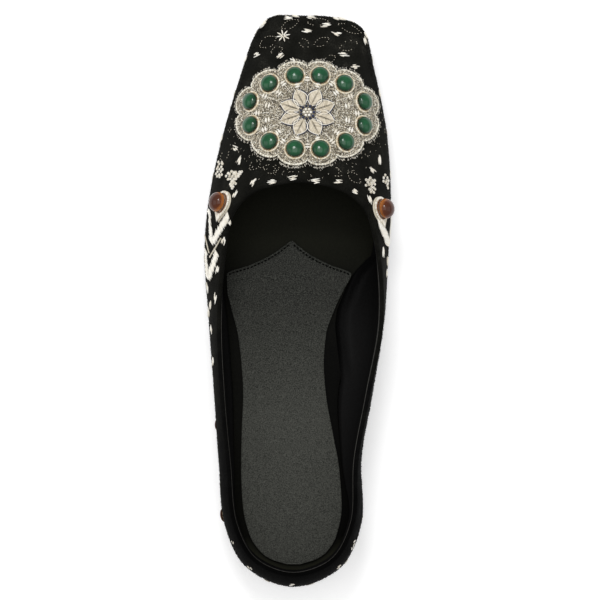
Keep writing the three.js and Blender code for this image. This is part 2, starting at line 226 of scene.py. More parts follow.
VELVET = cotton_velvet()
# The lining, the footbed and the sock take their depth of colour from their paint, which is painted light and
# shade.
LINING = leather("smooth_black_lining_leather", "#040404", "#484747", 0.55, 0.9, 0.05, gloss=0.06, fleck=0.06)
FOOTBED = leather("black_footbed_leather", "#030302", "#4a4b3c", 0.55, 0.9, 0.05, gloss=0.035, fleck=0.055)
LINING_EDGE = leather("cut_edge_of_lining_leather", "#3c3b38", "#4e4c48", 0.55, 0.6, 0.05, gloss=0.1)
SOCK = leather("grey_sock_leather", "#191a17", "#595a54", 0.62, 0.43, 0.14, gloss=0.1, fleck=1.65)
SOLE = leather("waxed_black_sole_leather", "#14120f", "#211d19", 0.42, 1.4, 0.05)
print("velvet and leathers made")

# %% Thread finishes


def thread(name, dark, middle, light, roughness, metallic=0.0, gloss=0.5):
    """Embroidery thread: twisted yarn with a soft gloss along it. Each stitch has a tone of its own."""
    material, tree, shader, spot = new_finish(
        name, Roughness=roughness, Metallic=metallic, Specular_IOR_Level=gloss
    )
    tone = put(tree, "ShaderNodeAttribute", attribute_name="tone").outputs["Fac"]
    twist = put(tree, "ShaderNodeTexNoise", {"Scale": per(0.5), "Detail": 2.0}, {"Vector": spot})
    total = put(tree, "ShaderNodeMath", {1: 0.35}, {0: twist, 2: tone}, operation="MULTIPLY_ADD")
    stops = ((0.1, dark), (0.6, middle), (1.0, light))
    colour = put(tree, "ShaderNodeValToRGB", None, {"Fac": total}, stops)
    relief = put(tree, "ShaderNodeBump", {"Strength": 0.6, "Distance": 0.12 * MM}, {"Height": twist})
    dress(tree, shader, colour, relief)
    return material


IVORY = thread("ivory_cotton_thread", "#cdc4b0", "#f6f0e2", "#fffdf6", 0.7)
SILVER = thread("tarnished_silver_thread", "#1b1812", "#ccc3af", "#fffcf0", 0.5, metallic=0.1)
PALE = thread("pale_silver_satin_thread", "#a3977f", "#d0c5af", "#efe6d4", 0.5)
CREAM = thread("cream_silk_thread", "#d2c09c", "#f5e9d0", "#fffaec", 0.6)
GOLD = thread("pale_gold_thread", "#6b573a", "#c9ae82", "#ecd9b4", 0.5, metallic=0.2)
NAVY = thread("navy_silk_thread", "#12162a", "#20263f", "#343c5c", 0.5)
CHARCOAL = thread("charcoal_sewing_thread", "#050505", "#0a0a09", "#141412", 0.9, gloss=0.03)
UMBER = thread("dark_brown_thread", "#20120a", "#66391a", "#804c24", 0.8, gloss=0.05)


def ground_cloth():
    """Stiff greyish linen under the silver thread, seen only in the gaps between stitches."""
    material, tree, shader, spot = new_finish("grey_linen_ground", Roughness=0.85)
    weave = put(tree, "ShaderNodeTexNoise", {"Scale": per(0.5), "Detail": 2.0}, {"Vector": spot})
    stops = ((0.38, "#201c16"), (0.5, "#6f6656"), (0.6, "#c2b8a2"))
    colour = put(tree, "ShaderNodeValToRGB", None, {"Fac": weave}, stops)
    relief = put(tree, "ShaderNodeBump", {"Strength": 1.0, "Distance": 0.15 * MM}, {"Height": weave})
    dress(tree, shader, colour, relief)
    return material


GROUND = ground_cloth()
print("threads made")

# %% Stone finishes


def green_stone():
    """Green agate: dense polished stone, faintly cloudy, with painted shade darkening it towards its seat."""
    material, tree, shader, spot = new_finish("polished_green_agate", Roughness=0.16, IOR=1.5)
    cloud = put(tree, "ShaderNodeTexNoise", {"Scale": per(2.6), "Detail": 4.0}, {"Vector": spot})
    hues = ((0.3, "#10462a"), (0.55, "#165331"), (0.8, "#1d603b"))
    hue = put(tree, "ShaderNodeValToRGB", None, {"Fac": cloud}, hues)
    # painted shade: the paint is the height share, and the stone is darker towards its seat
    height = put(tree, "ShaderNodeAttribute", attribute_name="paint").outputs["Fac"]
    shades = ((0.0, "#484848"), (0.5, "#c4c4c4"), (0.9, "#ffffff"))
    shade = put(tree, "ShaderNodeValToRGB", None, {"Fac": height}, shades)
    mixing = {"data_type": "RGBA", "blend_type": "MULTIPLY"}
    both = put(tree, "ShaderNodeMix", {0: 1.0}, {6: hue, 7: shade}, **mixing)
    tree.links.new(both.outputs[2], shader.inputs["Base Color"])
    return material


def amber_stone():
    """Tumbled amber resin: brown in its depth, with a painted glow of light through it, orange towards the
    middle of the shoe.
    """
    material, tree, shader, spot = new_finish(
        "brown_amber_resin",
        Roughness=0.1,
        IOR=1.5,
        Specular_IOR_Level=0.3,
        Transmission_Weight=0.03,
    )
    cloud = put(tree, "ShaderNodeTexNoise", {"Scale": per(3.0), "Detail": 3.0}, {"Vector": spot})
    mixed = put(tree, "ShaderNodeMath", {1: 0.24, 2: -0.12}, {0: cloud}, operation="MULTIPLY_ADD")
    # painted light: the paint is a glow of light through the stone, orange on its side towards the middle of
    # the shoe
    edge_taper_and_amber_glow = put(tree, "ShaderNodeAttribute", attribute_name="paint").outputs["Fac"]
    glow = put(tree, "ShaderNodeMath", None, {0: edge_taper_and_amber_glow, 1: mixed}, operation="ADD")
    stops = ((0.0, "#4a2b22"), (0.38, "#502c1e"), (0.64, "#5c2d16"), (0.82, "#ad6830"), (1.0, "#9a561e"))
    dress(tree, shader, put(tree, "ShaderNodeValToRGB", None, {"Fac": glow}, stops))
    return material


GREEN = green_stone()
AMBER = amber_stone()
print("stones made")

# %% Floor
FLOOR_REACH = 3.0
FLOOR_DROP = 0.0002  # just under the heel, so that the two don't share a plane


def paper():
    """Matt white background paper, lifted a little so that it reads as white."""
    material, tree, shader, spot = new_finish(
        "white_background_paper",
        Roughness=0.9,
        Emission_Color=(1.0, 1.0, 1.0, 1.0),
        Emission_Strength=0.37,
    )
    fibre = put(tree, "ShaderNodeTexNoise", {"Scale": per(3.0), "Detail": 2.0}, {"Vector": spot})
    stops = ((0.0, "#f3f3f3"), (1.0, "#fafafa"))
    dress(tree, shader, put(tree, "ShaderNodeValToRGB", None, {"Fac": fibre}, stops))
    return material


floor_mesh = bpy.data.meshes.new("floor")
corners = [(x * FLOOR_REACH, y * FLOOR_REACH, -FLOOR_DROP) for x, y in ((-1, -1), (1, -1), (1, 1), (-1, 1))]
floor_mesh.from_pydata(corners, [], [(0, 1, 2, 3)])
floor_mesh.materials.append(paper())
floor = bpy.data.objects.new("floor", floor_mesh)
bpy.context.collection.objects.link(floor)
print("floor laid")

# %% [markdown]
# ## The form of the last
# A shoe's upper is drawn as sections that run from the feather edge, where it meets the sole, up to the
# collar. It could be sculpted, but a rule keeps every piece on it in step: the velvet, the lining, the
# applique and each stitch all ask the same function for their place. The rows go round the shoe from the
# back of the heel, along the outer side to the toe, and home along the inner side.

# %% Sections of the last
SECTIONS = np.array(
    [
        # side and distance where it is widest; how far the feather edge lies inside and below;
        # straight share of the climb; side, distance and height of the collar
        (0.6, 0, 5.5, 13, 0, 0.6, 6.1, 41),
        (-20.6, 9.2, 5, 13, 0, -16.7, 12.7, 40.6),
        (-30, 28, 4.5, 13, 0, -25.7, 28.8, 39.2),
        (-32.7, 56, 5.5, 13, 0, -28.6, 56, 37),
        (-34.8, 86, 7, 14, 0, -31.5, 86, 35.8),
        (-37.3, 119, 7, 13, 0.05, -33, 118, 36),
        (-39.3, 149, 5, 12, 0.1, -30.9, 147, 39),
        (-38.1, 170, 4.5, 11, 0.2, -26.8, 168, 43.6),
        (-33.2, 196, 4, 10, 0.35, -17.6, 177.4, 47.6),
        (-23.6, 229.5, 3.5, 9, 0.42, -8.6, 180.2, 49.2),
        (-15.9, 250.4, 3.5, 8.5, 0.45, -3.4, 181.1, 49.7),
        (-9.4, 257.3, 3.5, 8.5, 0.45, 0, 181.5, 49.9),
        (5, 258, 3.5, 8.5, 0.45, 3.6, 181.7, 50),
        (20.2, 257.1, 3.5, 8.5, 0.45, 7.4, 181.5, 49.9),
        (32, 252.4, 3.5, 8.5, 0.45, 11.6, 180.9, 49.6),
        (37.5, 234, 3.5, 9, 0.42, 17.2, 179.8, 48.9),
        (43.3, 205, 4, 10, 0.35, 25.8, 176.6, 46.8),
        (45.1, 174, 4.5, 11.5, 0.2, 34.4, 168.4, 42.6),
        (43.8, 149, 6, 13, 0.1, 40, 147, 38),
        (41.9, 120, 12, 16, 0.05, 41.2, 118, 35.4),
        (36.6, 87, 14, 17, 0, 35.2, 86, 35.2),
        (31.6, 58, 8, 14.5, 0, 29.8, 57, 36.8),
        (31.6, 28.8, 4.5, 13, 0, 27.9, 28.9, 39),
        (22.3, 8.9, 5, 13, 0, 18.6, 12.3, 40.6),
    ]
)
WIDEST = SECTIONS[:, 0:2]
SHAPE = SECTIONS[:, 2:5]
COLLAR = SECTIONS[:, 5:8]
SOLE_PROFILE = np.array(
    # distance from the back of the heel, height of the outsole's underside
    [(-5, 9), (54, 9), (92, 5.6), (124, 1.5), (150, 0), (188, 0), (222, 2.2), (262, 7.6)]
)
WALL = 2.2  # thickness of the upper
SEAM = 0.3  # glue and stitches between two pieces
SOLE_THICK = 3.5
SOLE_EDGE = 1.0  # how far the sole stands out beyond the feather edge
INSOLE_THICK = 2.0
FULLNESS = 0.45  # power of the climb to the collar; less is fuller
FEATHER_ANGLE = math.radians(30)  # where the round of the lower wall starts
WIDEST_AT = 0.27  # share of the height
print("sections:", len(SECTIONS))

# %% Curves through the tables


def unit(vectors):
    """Vectors made one long."""
    return vectors / np.linalg.norm(vectors, axis=-1, keepdims=True)


def lifted(plan, height):
    """Plan points with a height each."""
    return np.concatenate([plan, height[..., None]], axis=-1)


def smooth_profile(table, column, back):
    """Monotone curve through a table's rows, so that level stretches stay level."""
    x, y = table[:, 0], table[:, column]
    slope = np.diff(y) / np.diff(x)
    before, after = slope[:-1], slope[1:]
    level = before * after <= 0
    mean = 2 * before * after / np.where(level, 1.0, before + after)
    tangent = np.concatenate([slope[:1], np.where(level, 0.0, mean), slope[-1:]])
    back = np.clip(np.asarray(back, float), x[0], x[-1])
    i = np.clip(np.searchsorted(x, back, side="right") - 1, 0, len(x) - 2)
    span = x[i + 1] - x[i]
    s = (back - x[i]) / span
    start = y[i] * (1 + 2 * s) * (1 - s) ** 2 + tangent[i] * span * s * (1 - s) ** 2
    return start + y[i + 1] * s * s * (3 - 2 * s) + tangent[i + 1] * span * s * s * (s - 1)


def ring_curve(points, turn):
    """Centripetal curve through a closed ring of points; turn goes once round from 0 to 1."""
    count = len(points)
    spot = (np.asarray(turn, float) % 1.0) * count
    i = np.floor(spot).astype(int) % count
    w = (spot - np.floor(spot))[..., None]
    p0, p1, p2, p3 = (points[(i + k) % count] for k in (-1, 0, 1, 2))
    spans = (p1 - p0, p2 - p1, p3 - p2)
    d0, d1, d2 = (np.sqrt(np.linalg.norm(span, axis=-1, keepdims=True)) for span in spans)
    d1 = np.where(d1 < 1e-4, 1.0, d1)
    d0 = np.where(d0 < 1e-4, d1, d0)
    d2 = np.where(d2 < 1e-4, d1, d2)
    leave = ((p1 - p0) / d0 - (p2 - p0) / (d0 + d1) + (p2 - p1) / d1) * d1
    arrive = ((p2 - p1) / d1 - (p3 - p1) / (d1 + d2) + (p3 - p2) / d2) * d1
    square = 3 * (p2 - p1) - 2 * leave - arrive
    cube = 2 * (p1 - p2) + leave + arrive
    return p1 + leave * w + square * w**2 + cube * w**3


print("underside of the sole at the toe:", smooth_profile(SOLE_PROFILE, 1, WIDEST[:, 1].max()).round(1))

# %% Places on the last


def sole_under(back):
    """Height of the outsole's underside, by distance from the back of the heel."""
    return smooth_profile(SOLE_PROFILE, 1, back)


def sole_top(back):
    """Height of the outsole's top."""
    return sole_under(back) + SOLE_THICK


def bed_top(back):
    """Height of the footbed's top."""
    return sole_top(back) + SEAM + INSOLE_THICK


def feather_point(turn, inset=0.0):
    """Where the upper meets the sole, moved inwards in plan; its height is the outsole's top."""
    ahead = unit(ring_curve(WIDEST, turn + 1e-4) - ring_curve(WIDEST, turn - 1e-4))
    inwards = np.stack([ahead[..., 1], -ahead[..., 0]], axis=-1)
    depth = ring_curve(SHAPE, turn)[..., :1] + inset
    plan = ring_curve(WIDEST, turn) + inwards * depth
    return lifted(plan, sole_top(plan[..., 1]))


def last_point(turn, up):
    """The upper's outer surface: up goes from the feather edge at 0 to the collar at 1."""
    turn, up = np.broadcast_arrays(np.asarray(turn, float), np.asarray(up, float))
    widest = ring_curve(WIDEST, turn)
    shape = ring_curve(SHAPE, turn)
    collar = ring_curve(COLLAR, turn)
    foot = feather_point(turn)
    foot_height = foot[..., 2] + SEAM
    widest_height = foot_height + shape[..., 1]
    angle = FEATHER_ANGLE + (math.pi / 2 - FEATHER_ANGLE) * np.clip(up / WIDEST_AT, 0, 1)
    out = (np.sin(angle) - math.sin(FEATHER_ANGLE)) / (1 - math.sin(FEATHER_ANGLE))
    rise = 1 - np.cos(angle) / math.cos(FEATHER_ANGLE)
    low_plan = foot[..., :2] + (widest - foot[..., :2]) * out[..., None]
    low = lifted(low_plan, foot_height + shape[..., 1] * rise)
    run = np.clip((up - WIDEST_AT) / (1 - WIDEST_AT), 0, None) ** 2
    lift = (1 - shape[..., 2]) * run**FULLNESS + shape[..., 2] * run
    high_plan = widest + (collar[..., :2] - widest) * run[..., None]
    high = lifted(high_plan, widest_height + (collar[..., 2] - widest_height) * lift)
    return np.where((up < WIDEST_AT)[..., None], low, high)


def last_seat(turn, up, step=2e-3):
    """Point, outward normal and the direction up the section."""
    around = last_point(turn + step, up) - last_point(turn - step, up)
    upwards = last_point(turn, np.minimum(up + step, 1.0)) - last_point(turn, np.maximum(up - step, 0.0))
    return last_point(turn, up), unit(np.cross(upwards, around)), unit(upwards)


print("collar over the throat:", last_point(0.5, 1.0).round(1))

# %% Helpers for meshes


def facing_out(points, faces):
    """Turns all faces of a closed body round if they point inwards, which makes its volume negative."""
    points = np.asarray(points, float)
    faces = [[int(v) for v in face] for face in faces]
    fans = [(face[0], face[k], face[k + 1]) for face in faces for k in range(1, len(face) - 1)]
    a, b, c = (points[list(corner)] for corner in zip(*fans))
    volume = np.einsum("ij,ij->i", a, np.cross(b, c)).sum()
    return [face[::-1] for face in faces] if volume < 0 else faces


def make_piece(name, points_mm, faces, materials, face_materials=None):
    """A smooth mesh object from shoe millimetres; a closed body's faces are made to point outwards."""
    mesh = bpy.data.meshes.new(name)
    metres = np.asarray(points_mm, float) * MM
    metres[:, 1] -= HEEL_CENTRE * MM
    mesh.from_pydata(metres.tolist(), [], facing_out(points_mm, faces) if len(faces) else [])
    for material in materials:
        mesh.materials.append(material)
    if face_materials is not None:
        mesh.polygons.foreach_set("material_index", np.asarray(face_materials, np.int32))
    mesh.polygons.foreach_set("use_smooth", np.ones(len(mesh.polygons), bool))
    mesh.update()
    piece = bpy.data.objects.new(name, mesh)
    bpy.context.collection.objects.link(piece)
    return piece


def spots_of(piece):
    """Side, distance from the back of the heel and height of each of a piece's points."""
    flat = np.empty(3 * len(piece.data.vertices), np.float32)
    piece.data.vertices.foreach_get("co", flat)
    return (flat.reshape(-1, 3) / MM + (0.0, HEEL_CENTRE, 0.0)).T


def paint(piece, values):
    """Keeps one value a point, which a finish reads as its tint."""
    attribute = piece.data.attributes.new("paint", "FLOAT", "POINT")
    attribute.data.foreach_set("value", np.ascontiguousarray(values, np.float32))


def ramp_up(value, start, end):
    """0 before start, 1 past end, and straight between; start may be the larger."""
    return np.clip((value - start) / (end - start), 0, 1)


def belong(piece, slot, *nodes):
    """Every piece rides on the shoe's one body and may stand for solids, which it hides. The slot is not
    used.
    """
    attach(piece, "root")
    if nodes:
        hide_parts(*nodes)


print("pieces are measured in mm and made in metres,", round(1 / MM), "to one")

# %% Grids and layers


def grid_faces(rows, columns, closed_rows=False, closed_columns=False):
    """Quads of a grid of points, joined round where a direction is closed."""
    i, j = np.meshgrid(
        np.arange(rows if closed_rows else rows - 1),
        np.arange(columns if closed_columns else columns - 1),
        indexing="ij",
    )
    ni, nj = (i + 1) % rows, (j + 1) % columns
    quads = (i * columns + j, ni * columns + j, ni * columns + nj, i * columns + nj)
    return np.stack(quads, axis=-1).reshape(-1, 4)


def layer(name, top, under, material):
    """A closed layer between two grids of points, its top and its underside."""
    rows, half = top.shape[:2]
    ring = np.concatenate([top, under[:, ::-1]], axis=1)
    faces = grid_faces(rows, 2 * half, closed_columns=True).tolist()
    for row, turned in ((0, True), (rows - 1, False)):
        start = row * 2 * half
        for k in range(half - 1):
            quad = [start + k, start + k + 1, start + 2 * half - 2 - k, start + 2 * half - 1 - k]
            faces.append(quad[::-1] if turned else quad)
    return make_piece(name, ring.reshape(-1, 3), faces, (material,))


print("quads in a grid of 3 by 4 points:", len(grid_faces(3, 4)))

# %% [markdown]
# ## The upper
# On the real shoe velvet is pulled over the last, turned over at the collar and lined with leather.
# One closed wall is made from the form above: out along the velvet, over a rolled edge, and down the
# lining. A little slack is left in it: shallow troughs where the foot bends and where the back
# was steamed to shape.

# %% Soft creases
CREASES = (
    # section along the shoe, height up it, half length along, half width up, depth in mm, slant
    (6.6, 0.55, 0.55, 0.030, -0.35, 0.10),
    (6.3, 0.42, 0.60, 0.035, 0.25, 0.08),
    (17.6, 0.60, 0.50, 0.030, -0.35, -0.10),
    (17.9, 0.47, 0.60, 0.035, 0.25, -0.08),
    (21.8, 0.62, 0.12, 0.140, -0.45, 0.00),
    (22.25, 0.55, 0.10, 0.160, -0.40, 0.00),
    (22.6, 0.65, 0.12, 0.140, 0.30, 0.00),
    (1.35, 0.60, 0.10, 0.150, -0.35, 0.00),
    (9.6, 0.50, 0.60, 0.060, -0.25, 0.05),
    (14.6, 0.50, 0.60, 0.060, -0.25, -0.05),
)


def slack(turn, up):
    """How far the velvet stands off the last."""
    section = (np.asarray(turn) % 1.0) * len(SECTIONS)
    total = np.zeros(np.broadcast(section, up).shape)
    for along, height, half_length, half_width, depth, slant in CREASES:
        off = section - along
        across = (up - height - slant * off) / half_width
        total = total + depth * np.exp(-((off / half_length) ** 2) - across**2)
    return total


print("creases:", len(CREASES))

# %% Velvet
ROUND_STEPS = 288
OUTER_STEPS = 46
ROLL_STEPS = 10
INNER_STEPS = 40
ROLL = WALL / 2


def collar_up(turn):
    """How far up its section the velvet starts to roll over."""
    speed = np.linalg.norm(last_point(turn, 1.0) - last_point(turn, 0.99), axis=-1) / 0.01
    return 1.0 - ROLL / speed


turns = np.arange(ROUND_STEPS) / ROUND_STEPS
top_up = collar_up(turns)
outer_up = np.linspace(0, 1, OUTER_STEPS)[None, :] * top_up[:, None]
outer_turn = np.broadcast_to(turns[:, None], outer_up.shape)
velvet_point, velvet_normal, velvet_rise = last_seat(outer_turn, outer_up)
velvet_point = velvet_point + velvet_normal * slack(outer_turn, outer_up)[..., None]

edge_normal, edge_rise = velvet_normal[:, -1:], velvet_rise[:, -1:]
roll_angle = np.linspace(0, math.pi, ROLL_STEPS + 2)[None, 1:-1, None]
roll_middle = velvet_point[:, -1:] - edge_normal * ROLL
rolled = roll_middle + ROLL * (np.cos(roll_angle) * edge_normal + np.sin(roll_angle) * edge_rise)
print("velvet:", velvet_point.shape[:2], "points, then", ROLL_STEPS, "over the collar")

# %% [markdown]
# The lining is a soft skin inside the wall. Round the heel it is padded to hold the foot. Along the inner
# side it is drawn in over the footbed, up to the edge of the sock, with one soft fold above its foot.

# %% Lining
HEEL_PADDING = 2.0  # soft roll of lining that grips the heel
PADDED_AT, PADDED_HALF = 0.88, 0.1  # share of the height, and half its spread
PADDED_REACH = 17.0  # how far the padding runs from the back of the heel
LINING_FOOT = np.array(
    [
        # distance from the back of the heel, side where the inner lining turns onto the footbed
        (84, 23.2),
        (92, 22.8),
        (100, 21.8),
        (110, 20.6),
        (118, 19.8),
        (125, 20.8),
        (134, 24.6),
        (141.5, 28.2),
        (147, 33.4),
        (151.5, 38.4),
    ]
)
NO_FOOT = 60.0  # a side beyond the shoe, where nothing is drawn in
DRAWN_CURVE = 1.6  # 1 draws the lining straight from the collar, and more hollows it
FOLD_IN = 4.6  # from the foot of the lining to the fold above it
FOLD = 1.1  # height of the fold, and half its width

inner_up = np.linspace(1, 0, INNER_STEPS)[None, :] * top_up[:, None]
inner_turn = np.broadcast_to(turns[:, None], inner_up.shape)
lining_point, lining_normal, _ = last_seat(inner_turn, inner_up)
round_heel = np.exp(-((lining_point[..., 1] / PADDED_REACH) ** 2))
from_foot = inner_up / top_up[:, None]
padding = HEEL_PADDING * round_heel * np.exp(-(((from_foot - PADDED_AT) / PADDED_HALF) ** 2))
lining_point = lining_point - lining_normal * (WALL + padding)[..., None]

over_bed = lining_point[..., 2] - bed_top(lining_point[..., 1])
climb = np.clip(over_bed / over_bed[:, :1], 0, 1)


def at_bed(column):
    """Where each section of the lining meets the footbed."""
    return np.array([np.interp(0.0, high[::-1], row[::-1]) for high, row in zip(over_bed, column)])


foot_side, foot_back = at_bed(lining_point[..., 0]), at_bed(lining_point[..., 1])
drawn_to = np.interp(foot_back, *LINING_FOOT.T, left=NO_FOOT, right=NO_FOOT)
drawn_in = np.clip(foot_side - drawn_to, 0, None)[:, None]
lining_point[..., 0] -= drawn_in * (1 - climb) ** DRAWN_CURVE
from_line = lining_point[..., 0] - foot_side[:, None] + drawn_in
loose = ramp_up(drawn_in, 0, 4) * (over_bed > 0)
lining_point[..., 2] += FOLD * loose * np.exp(-(((from_line - FOLD_IN) / FOLD) ** 2))
print("lining drawn in by up to", round(float(drawn_in.max()), 1), "mm")

# %% Wall of velvet and lining
LINED_FROM = OUTER_STEPS + ROLL_STEPS - 3  # the lining starts just inside the roll
PAINTED_VELVET_LIGHT = ((30, 60, 110, 150, 195, 215), (0.0, 0.4, 0.8, 0.9, 0.95, 1.0))  # painted light and sheen on the nap, lighter towards the toe, by distance from the heel
ON_ROLL = 0.14  # painted shade of the lining where it starts
ROLL_SHADE = 0.15  # painted shade: how much darker the nap is painted where it rolls over
IN_SHADE = ((86, 102, 116, 127, 136, 150), (0.8, 1.0, 0.88, 0.6, 0.45, 0.4))  # painted shade of the inner lining, by distance from the heel
IN_FOLD = 0.55  # painted shade: how much darker the lining is painted below its fold

wall = np.concatenate([velvet_point, rolled, lining_point], axis=1)
columns = wall.shape[1]
wall_faces = grid_faces(ROUND_STEPS, columns, closed_rows=True, closed_columns=True)[:, ::-1]
wall_material = np.tile(np.arange(columns) >= LINED_FROM, ROUND_STEPS).astype(int)
upper = make_piece("upper_velvet", wall.reshape(-1, 3), wall_faces, (VELVET, LINING), wall_material)

# The lining's paint is painted light and shade: lighter towards the collar, on the inner side following the
# distance from the heel, darker below its fold, and lighter near the top of the padding round the heel.
inner_side = ramp_up(lining_point[..., 0], -10, 20)
outer_shade = 0.0425 + 0.102 * from_foot
inner_shade = 0.085 + 0.034 * from_foot
lining_paint = outer_shade * (1 - inner_side) + inner_shade * inner_side
lining_paint *= 1 + (np.interp(lining_point[..., 1], *IN_SHADE) - 1) * inner_side
lining_paint *= 1 - IN_FOLD * loose * np.clip(4 - 3.4 * from_line / FOLD_IN, 0, 1)
# painted light near the top of the padded lining round the heel
lining_paint += round_heel * ramp_up(from_foot, 0.8, 1.0)
# painted light and sheen on the velvet, lighter towards the toe, with painted shade where it rolls over the
# collar
velvet_paint = np.interp(wall[:, : LINED_FROM + 1, 1], *PAINTED_VELVET_LIGHT)
velvet_paint *= 1 - ROLL_SHADE * ramp_up(np.arange(LINED_FROM + 1), OUTER_STEPS - 4, OUTER_STEPS + 2)
roll_paint = np.full((ROUND_STEPS, OUTER_STEPS + ROLL_STEPS - LINED_FROM - 1), ON_ROLL)
paint(upper, np.concatenate([velvet_paint, roll_paint, lining_paint], axis=1).ravel())
belong(upper, "velvet", "upper")
print("upper:", len(upper.data.polygons), "faces")

# %% [markdown]
# The lining is cut a little proud of the velvet along the sides and round the heel, so its pale raw edge
# shows as a fine line inside the collar. It fades out before the throat, where the velvet rolls right over.

# %% Raw edge of the lining
EDGE_FROM, EDGE_TO = 17.85, 24 + 5.6  # sections, counted on past the back of the heel
EDGE_STEPS = 260
EDGE_SIDES = 6
EDGE_RADIUS = 0.25
EDGE_FADE = 9  # the larger, the shorter the ends that thin out
EDGE_OUT, EDGE_UP = 0.12, 0.35  # from the face of the lining, where the velvet starts to roll
edge_turn = np.linspace(EDGE_FROM, EDGE_TO, EDGE_STEPS) / len(SECTIONS)
middle, out, rise = last_seat(edge_turn, collar_up(edge_turn))
middle = middle - out * (WALL - EDGE_OUT) + rise * EDGE_UP
edge_taper_and_amber_glow = EDGE_RADIUS * np.clip(np.sin(np.linspace(0, math.pi, EDGE_STEPS)) * EDGE_FADE, 0.05, 1)[:, None, None]
around = (np.arange(EDGE_SIDES) / EDGE_SIDES * 2 * math.pi)[None, :, None]
tube = middle[:, None] + edge_taper_and_amber_glow * (np.cos(around) * out[:, None] + np.sin(around) * rise[:, None])
tube_faces = grid_faces(EDGE_STEPS, EDGE_SIDES, closed_columns=True).tolist()
tube_faces.append(list(range(EDGE_SIDES)))
tube_faces.append([(EDGE_STEPS - 1) * EDGE_SIDES + k for k in reversed(range(EDGE_SIDES))])
lining_edge = make_piece("lining_edge", tube.reshape(-1, 3), tube_faces, (LINING_EDGE,))
belong(lining_edge, "lining_leather")
print("lining edge:", len(tube_faces), "faces")

# %% [markdown]
# ## Sole, heel and footbed
# These follow rungs drawn across the foot between matching points of the feather edge.
# Each rung carries a rounded section, and the sections are joined into one closed body.
# From above little of them shows, but the edge of the sole and the stacked heel finish the shoe from the
# side.

# %% Rungs across the foot
SOLE_CORNER = 1.1
RUNG_ENDS = (0.0006, 0.4994)  # just short of the middle of the heel and of the toe


def rungs(inset, count):
    """Matching points on the outer and inner side, from the heel to the toe."""
    turn = np.linspace(*RUNG_ENDS, count)
    return feather_point(turn, inset), feather_point(1 - turn, inset)


def slab(name, inset, bottom, top, corner, material, count=170, across=20, arc_steps=5):
    """A layer of the sole with rounded edges: bottom and top are heights by distance from the heel."""
    outer, inner = rungs(inset, count)
    width = np.linalg.norm((inner - outer)[:, :2], axis=-1)
    arc = np.linspace(0, math.pi / 2, arc_steps)
    share_in = np.minimum(corner / width, 0.45)[:, None] * (1 - np.cos(arc))[None, :]
    flat = np.linspace(0, 1, across)[1:-1]
    level = share_in[:, -1:] + (1 - 2 * share_in[:, -1:]) * flat
    shares = np.concatenate([share_in, level, (1 - share_in)[:, ::-1]], axis=1)
    drop = corner * (1 - np.sin(arc))
    drops = np.concatenate([drop, np.zeros(len(flat)), drop[::-1]])
    plan = outer[:, None, :2] + (inner - outer)[:, None, :2] * shares[..., None]
    back = plan[..., 1]
    from_end = np.clip(np.minimum(back - back.min(), back.max() - back), 0, corner)
    drops = np.maximum(drops, corner - np.sqrt(corner**2 - (corner - from_end) ** 2))
    return layer(name, lifted(plan, top(back) - drops), lifted(plan, bottom(back) + drops), material)


outsole = slab("outsole_leather", -SOLE_EDGE, sole_under, sole_top, SOLE_CORNER, SOLE)
belong(outsole, "sole_leather", "outsole")
print("outsole:", len(outsole.data.polygons), "faces")

# %% Footbed
HEEL_SEAT = (0.9, 29.6)  # middle of the round end of the footbed
BED_INSET = 0.9  # from the feather edge
BED_CORNER = 0.5


def bed_under(back):
    """Height of the footbed's underside."""
    return bed_top(back) - INSOLE_THICK


footbed = slab("footbed_lining", BED_INSET, bed_under, bed_top, BED_CORNER, FOOTBED)
side, back, _ = spots_of(footbed)
from_seat = np.hypot(side - HEEL_SEAT[0], back - HEEL_SEAT[1])
# painted light and shade on the footbed: a band of painted light round the heel seat where the padded lining
# slopes up, painted shade beside the sock on the inner side at the waist, and painted light towards the toe
heel_band_light = ramp_up(from_seat, 20.4, 23.8) * ramp_up(back, 22, 12)
waist_shade = ramp_up(side, 8, 14) * ramp_up(back, 122, 102)
paint(footbed, 0.027 * (1 - waist_shade) + 0.12 * ramp_up(back, 138, 156) + 0.33 * heel_band_light)
belong(footbed, "lining_leather", "insole")
print("footbed:", len(footbed.data.polygons), "faces")

# %% [markdown]
# The heel is a block of leather lifts, glued and trimmed to the edge of the sole, a little narrower at the
# floor. Fine grooves mark the lifts, and its front face is hollowed as a knife leaves it.

# %% Stacked heel
HEEL_HEIGHT = 9.0
HEEL_LENGTH = 50.0
HEEL_TAPER = 1.2
HEEL_BREAST = 5.0  # hollow of the front face
HEEL_LEVELS = 40
HEEL_RUNGS, BREAST_STEPS = 240, 26
LIFT = 2.9  # thickness of one leather lift
LIFT_GROOVE, GROOVE_HALF = 0.22, 0.28
FOOT_ROUND = 0.6  # rounding at the floor

outer, inner = (points[:, :2] for points in rungs(SEAM - SOLE_EDGE, HEEL_RUNGS))
under_heel = outer[:, 1] < HEEL_LENGTH
left, right = outer[under_heel], inner[under_heel]
shares = np.linspace(0, 1, BREAST_STEPS)[1:-1]
breast = left[-1] + (right[-1] - left[-1]) * shares[:, None]
breast[:, 1] -= HEEL_BREAST * (1 - (2 * shares - 1) ** 2)
outline = np.concatenate([left, breast, right[::-1]])
heel_middle = np.array([0.0, HEEL_CENTRE])
to_middle = unit(heel_middle - outline)
heel_top = HEEL_HEIGHT - SEAM
heel_points = []
for height in np.linspace(0, heel_top, HEEL_LEVELS):
    groove = LIFT_GROOVE * np.exp(-(((height % LIFT) - LIFT / 2) / GROOVE_HALF) ** 2)
    rounded = FOOT_ROUND * max(0.0, 1 - height / FOOT_ROUND) ** 2
    inset = HEEL_TAPER * (1 - height / heel_top) + groove + rounded
    heel_points += lifted(outline + to_middle * inset, np.full(len(outline), height)).tolist()
count = len(outline)
heel_faces = grid_faces(HEEL_LEVELS, count, closed_columns=True)[:, ::-1].tolist()
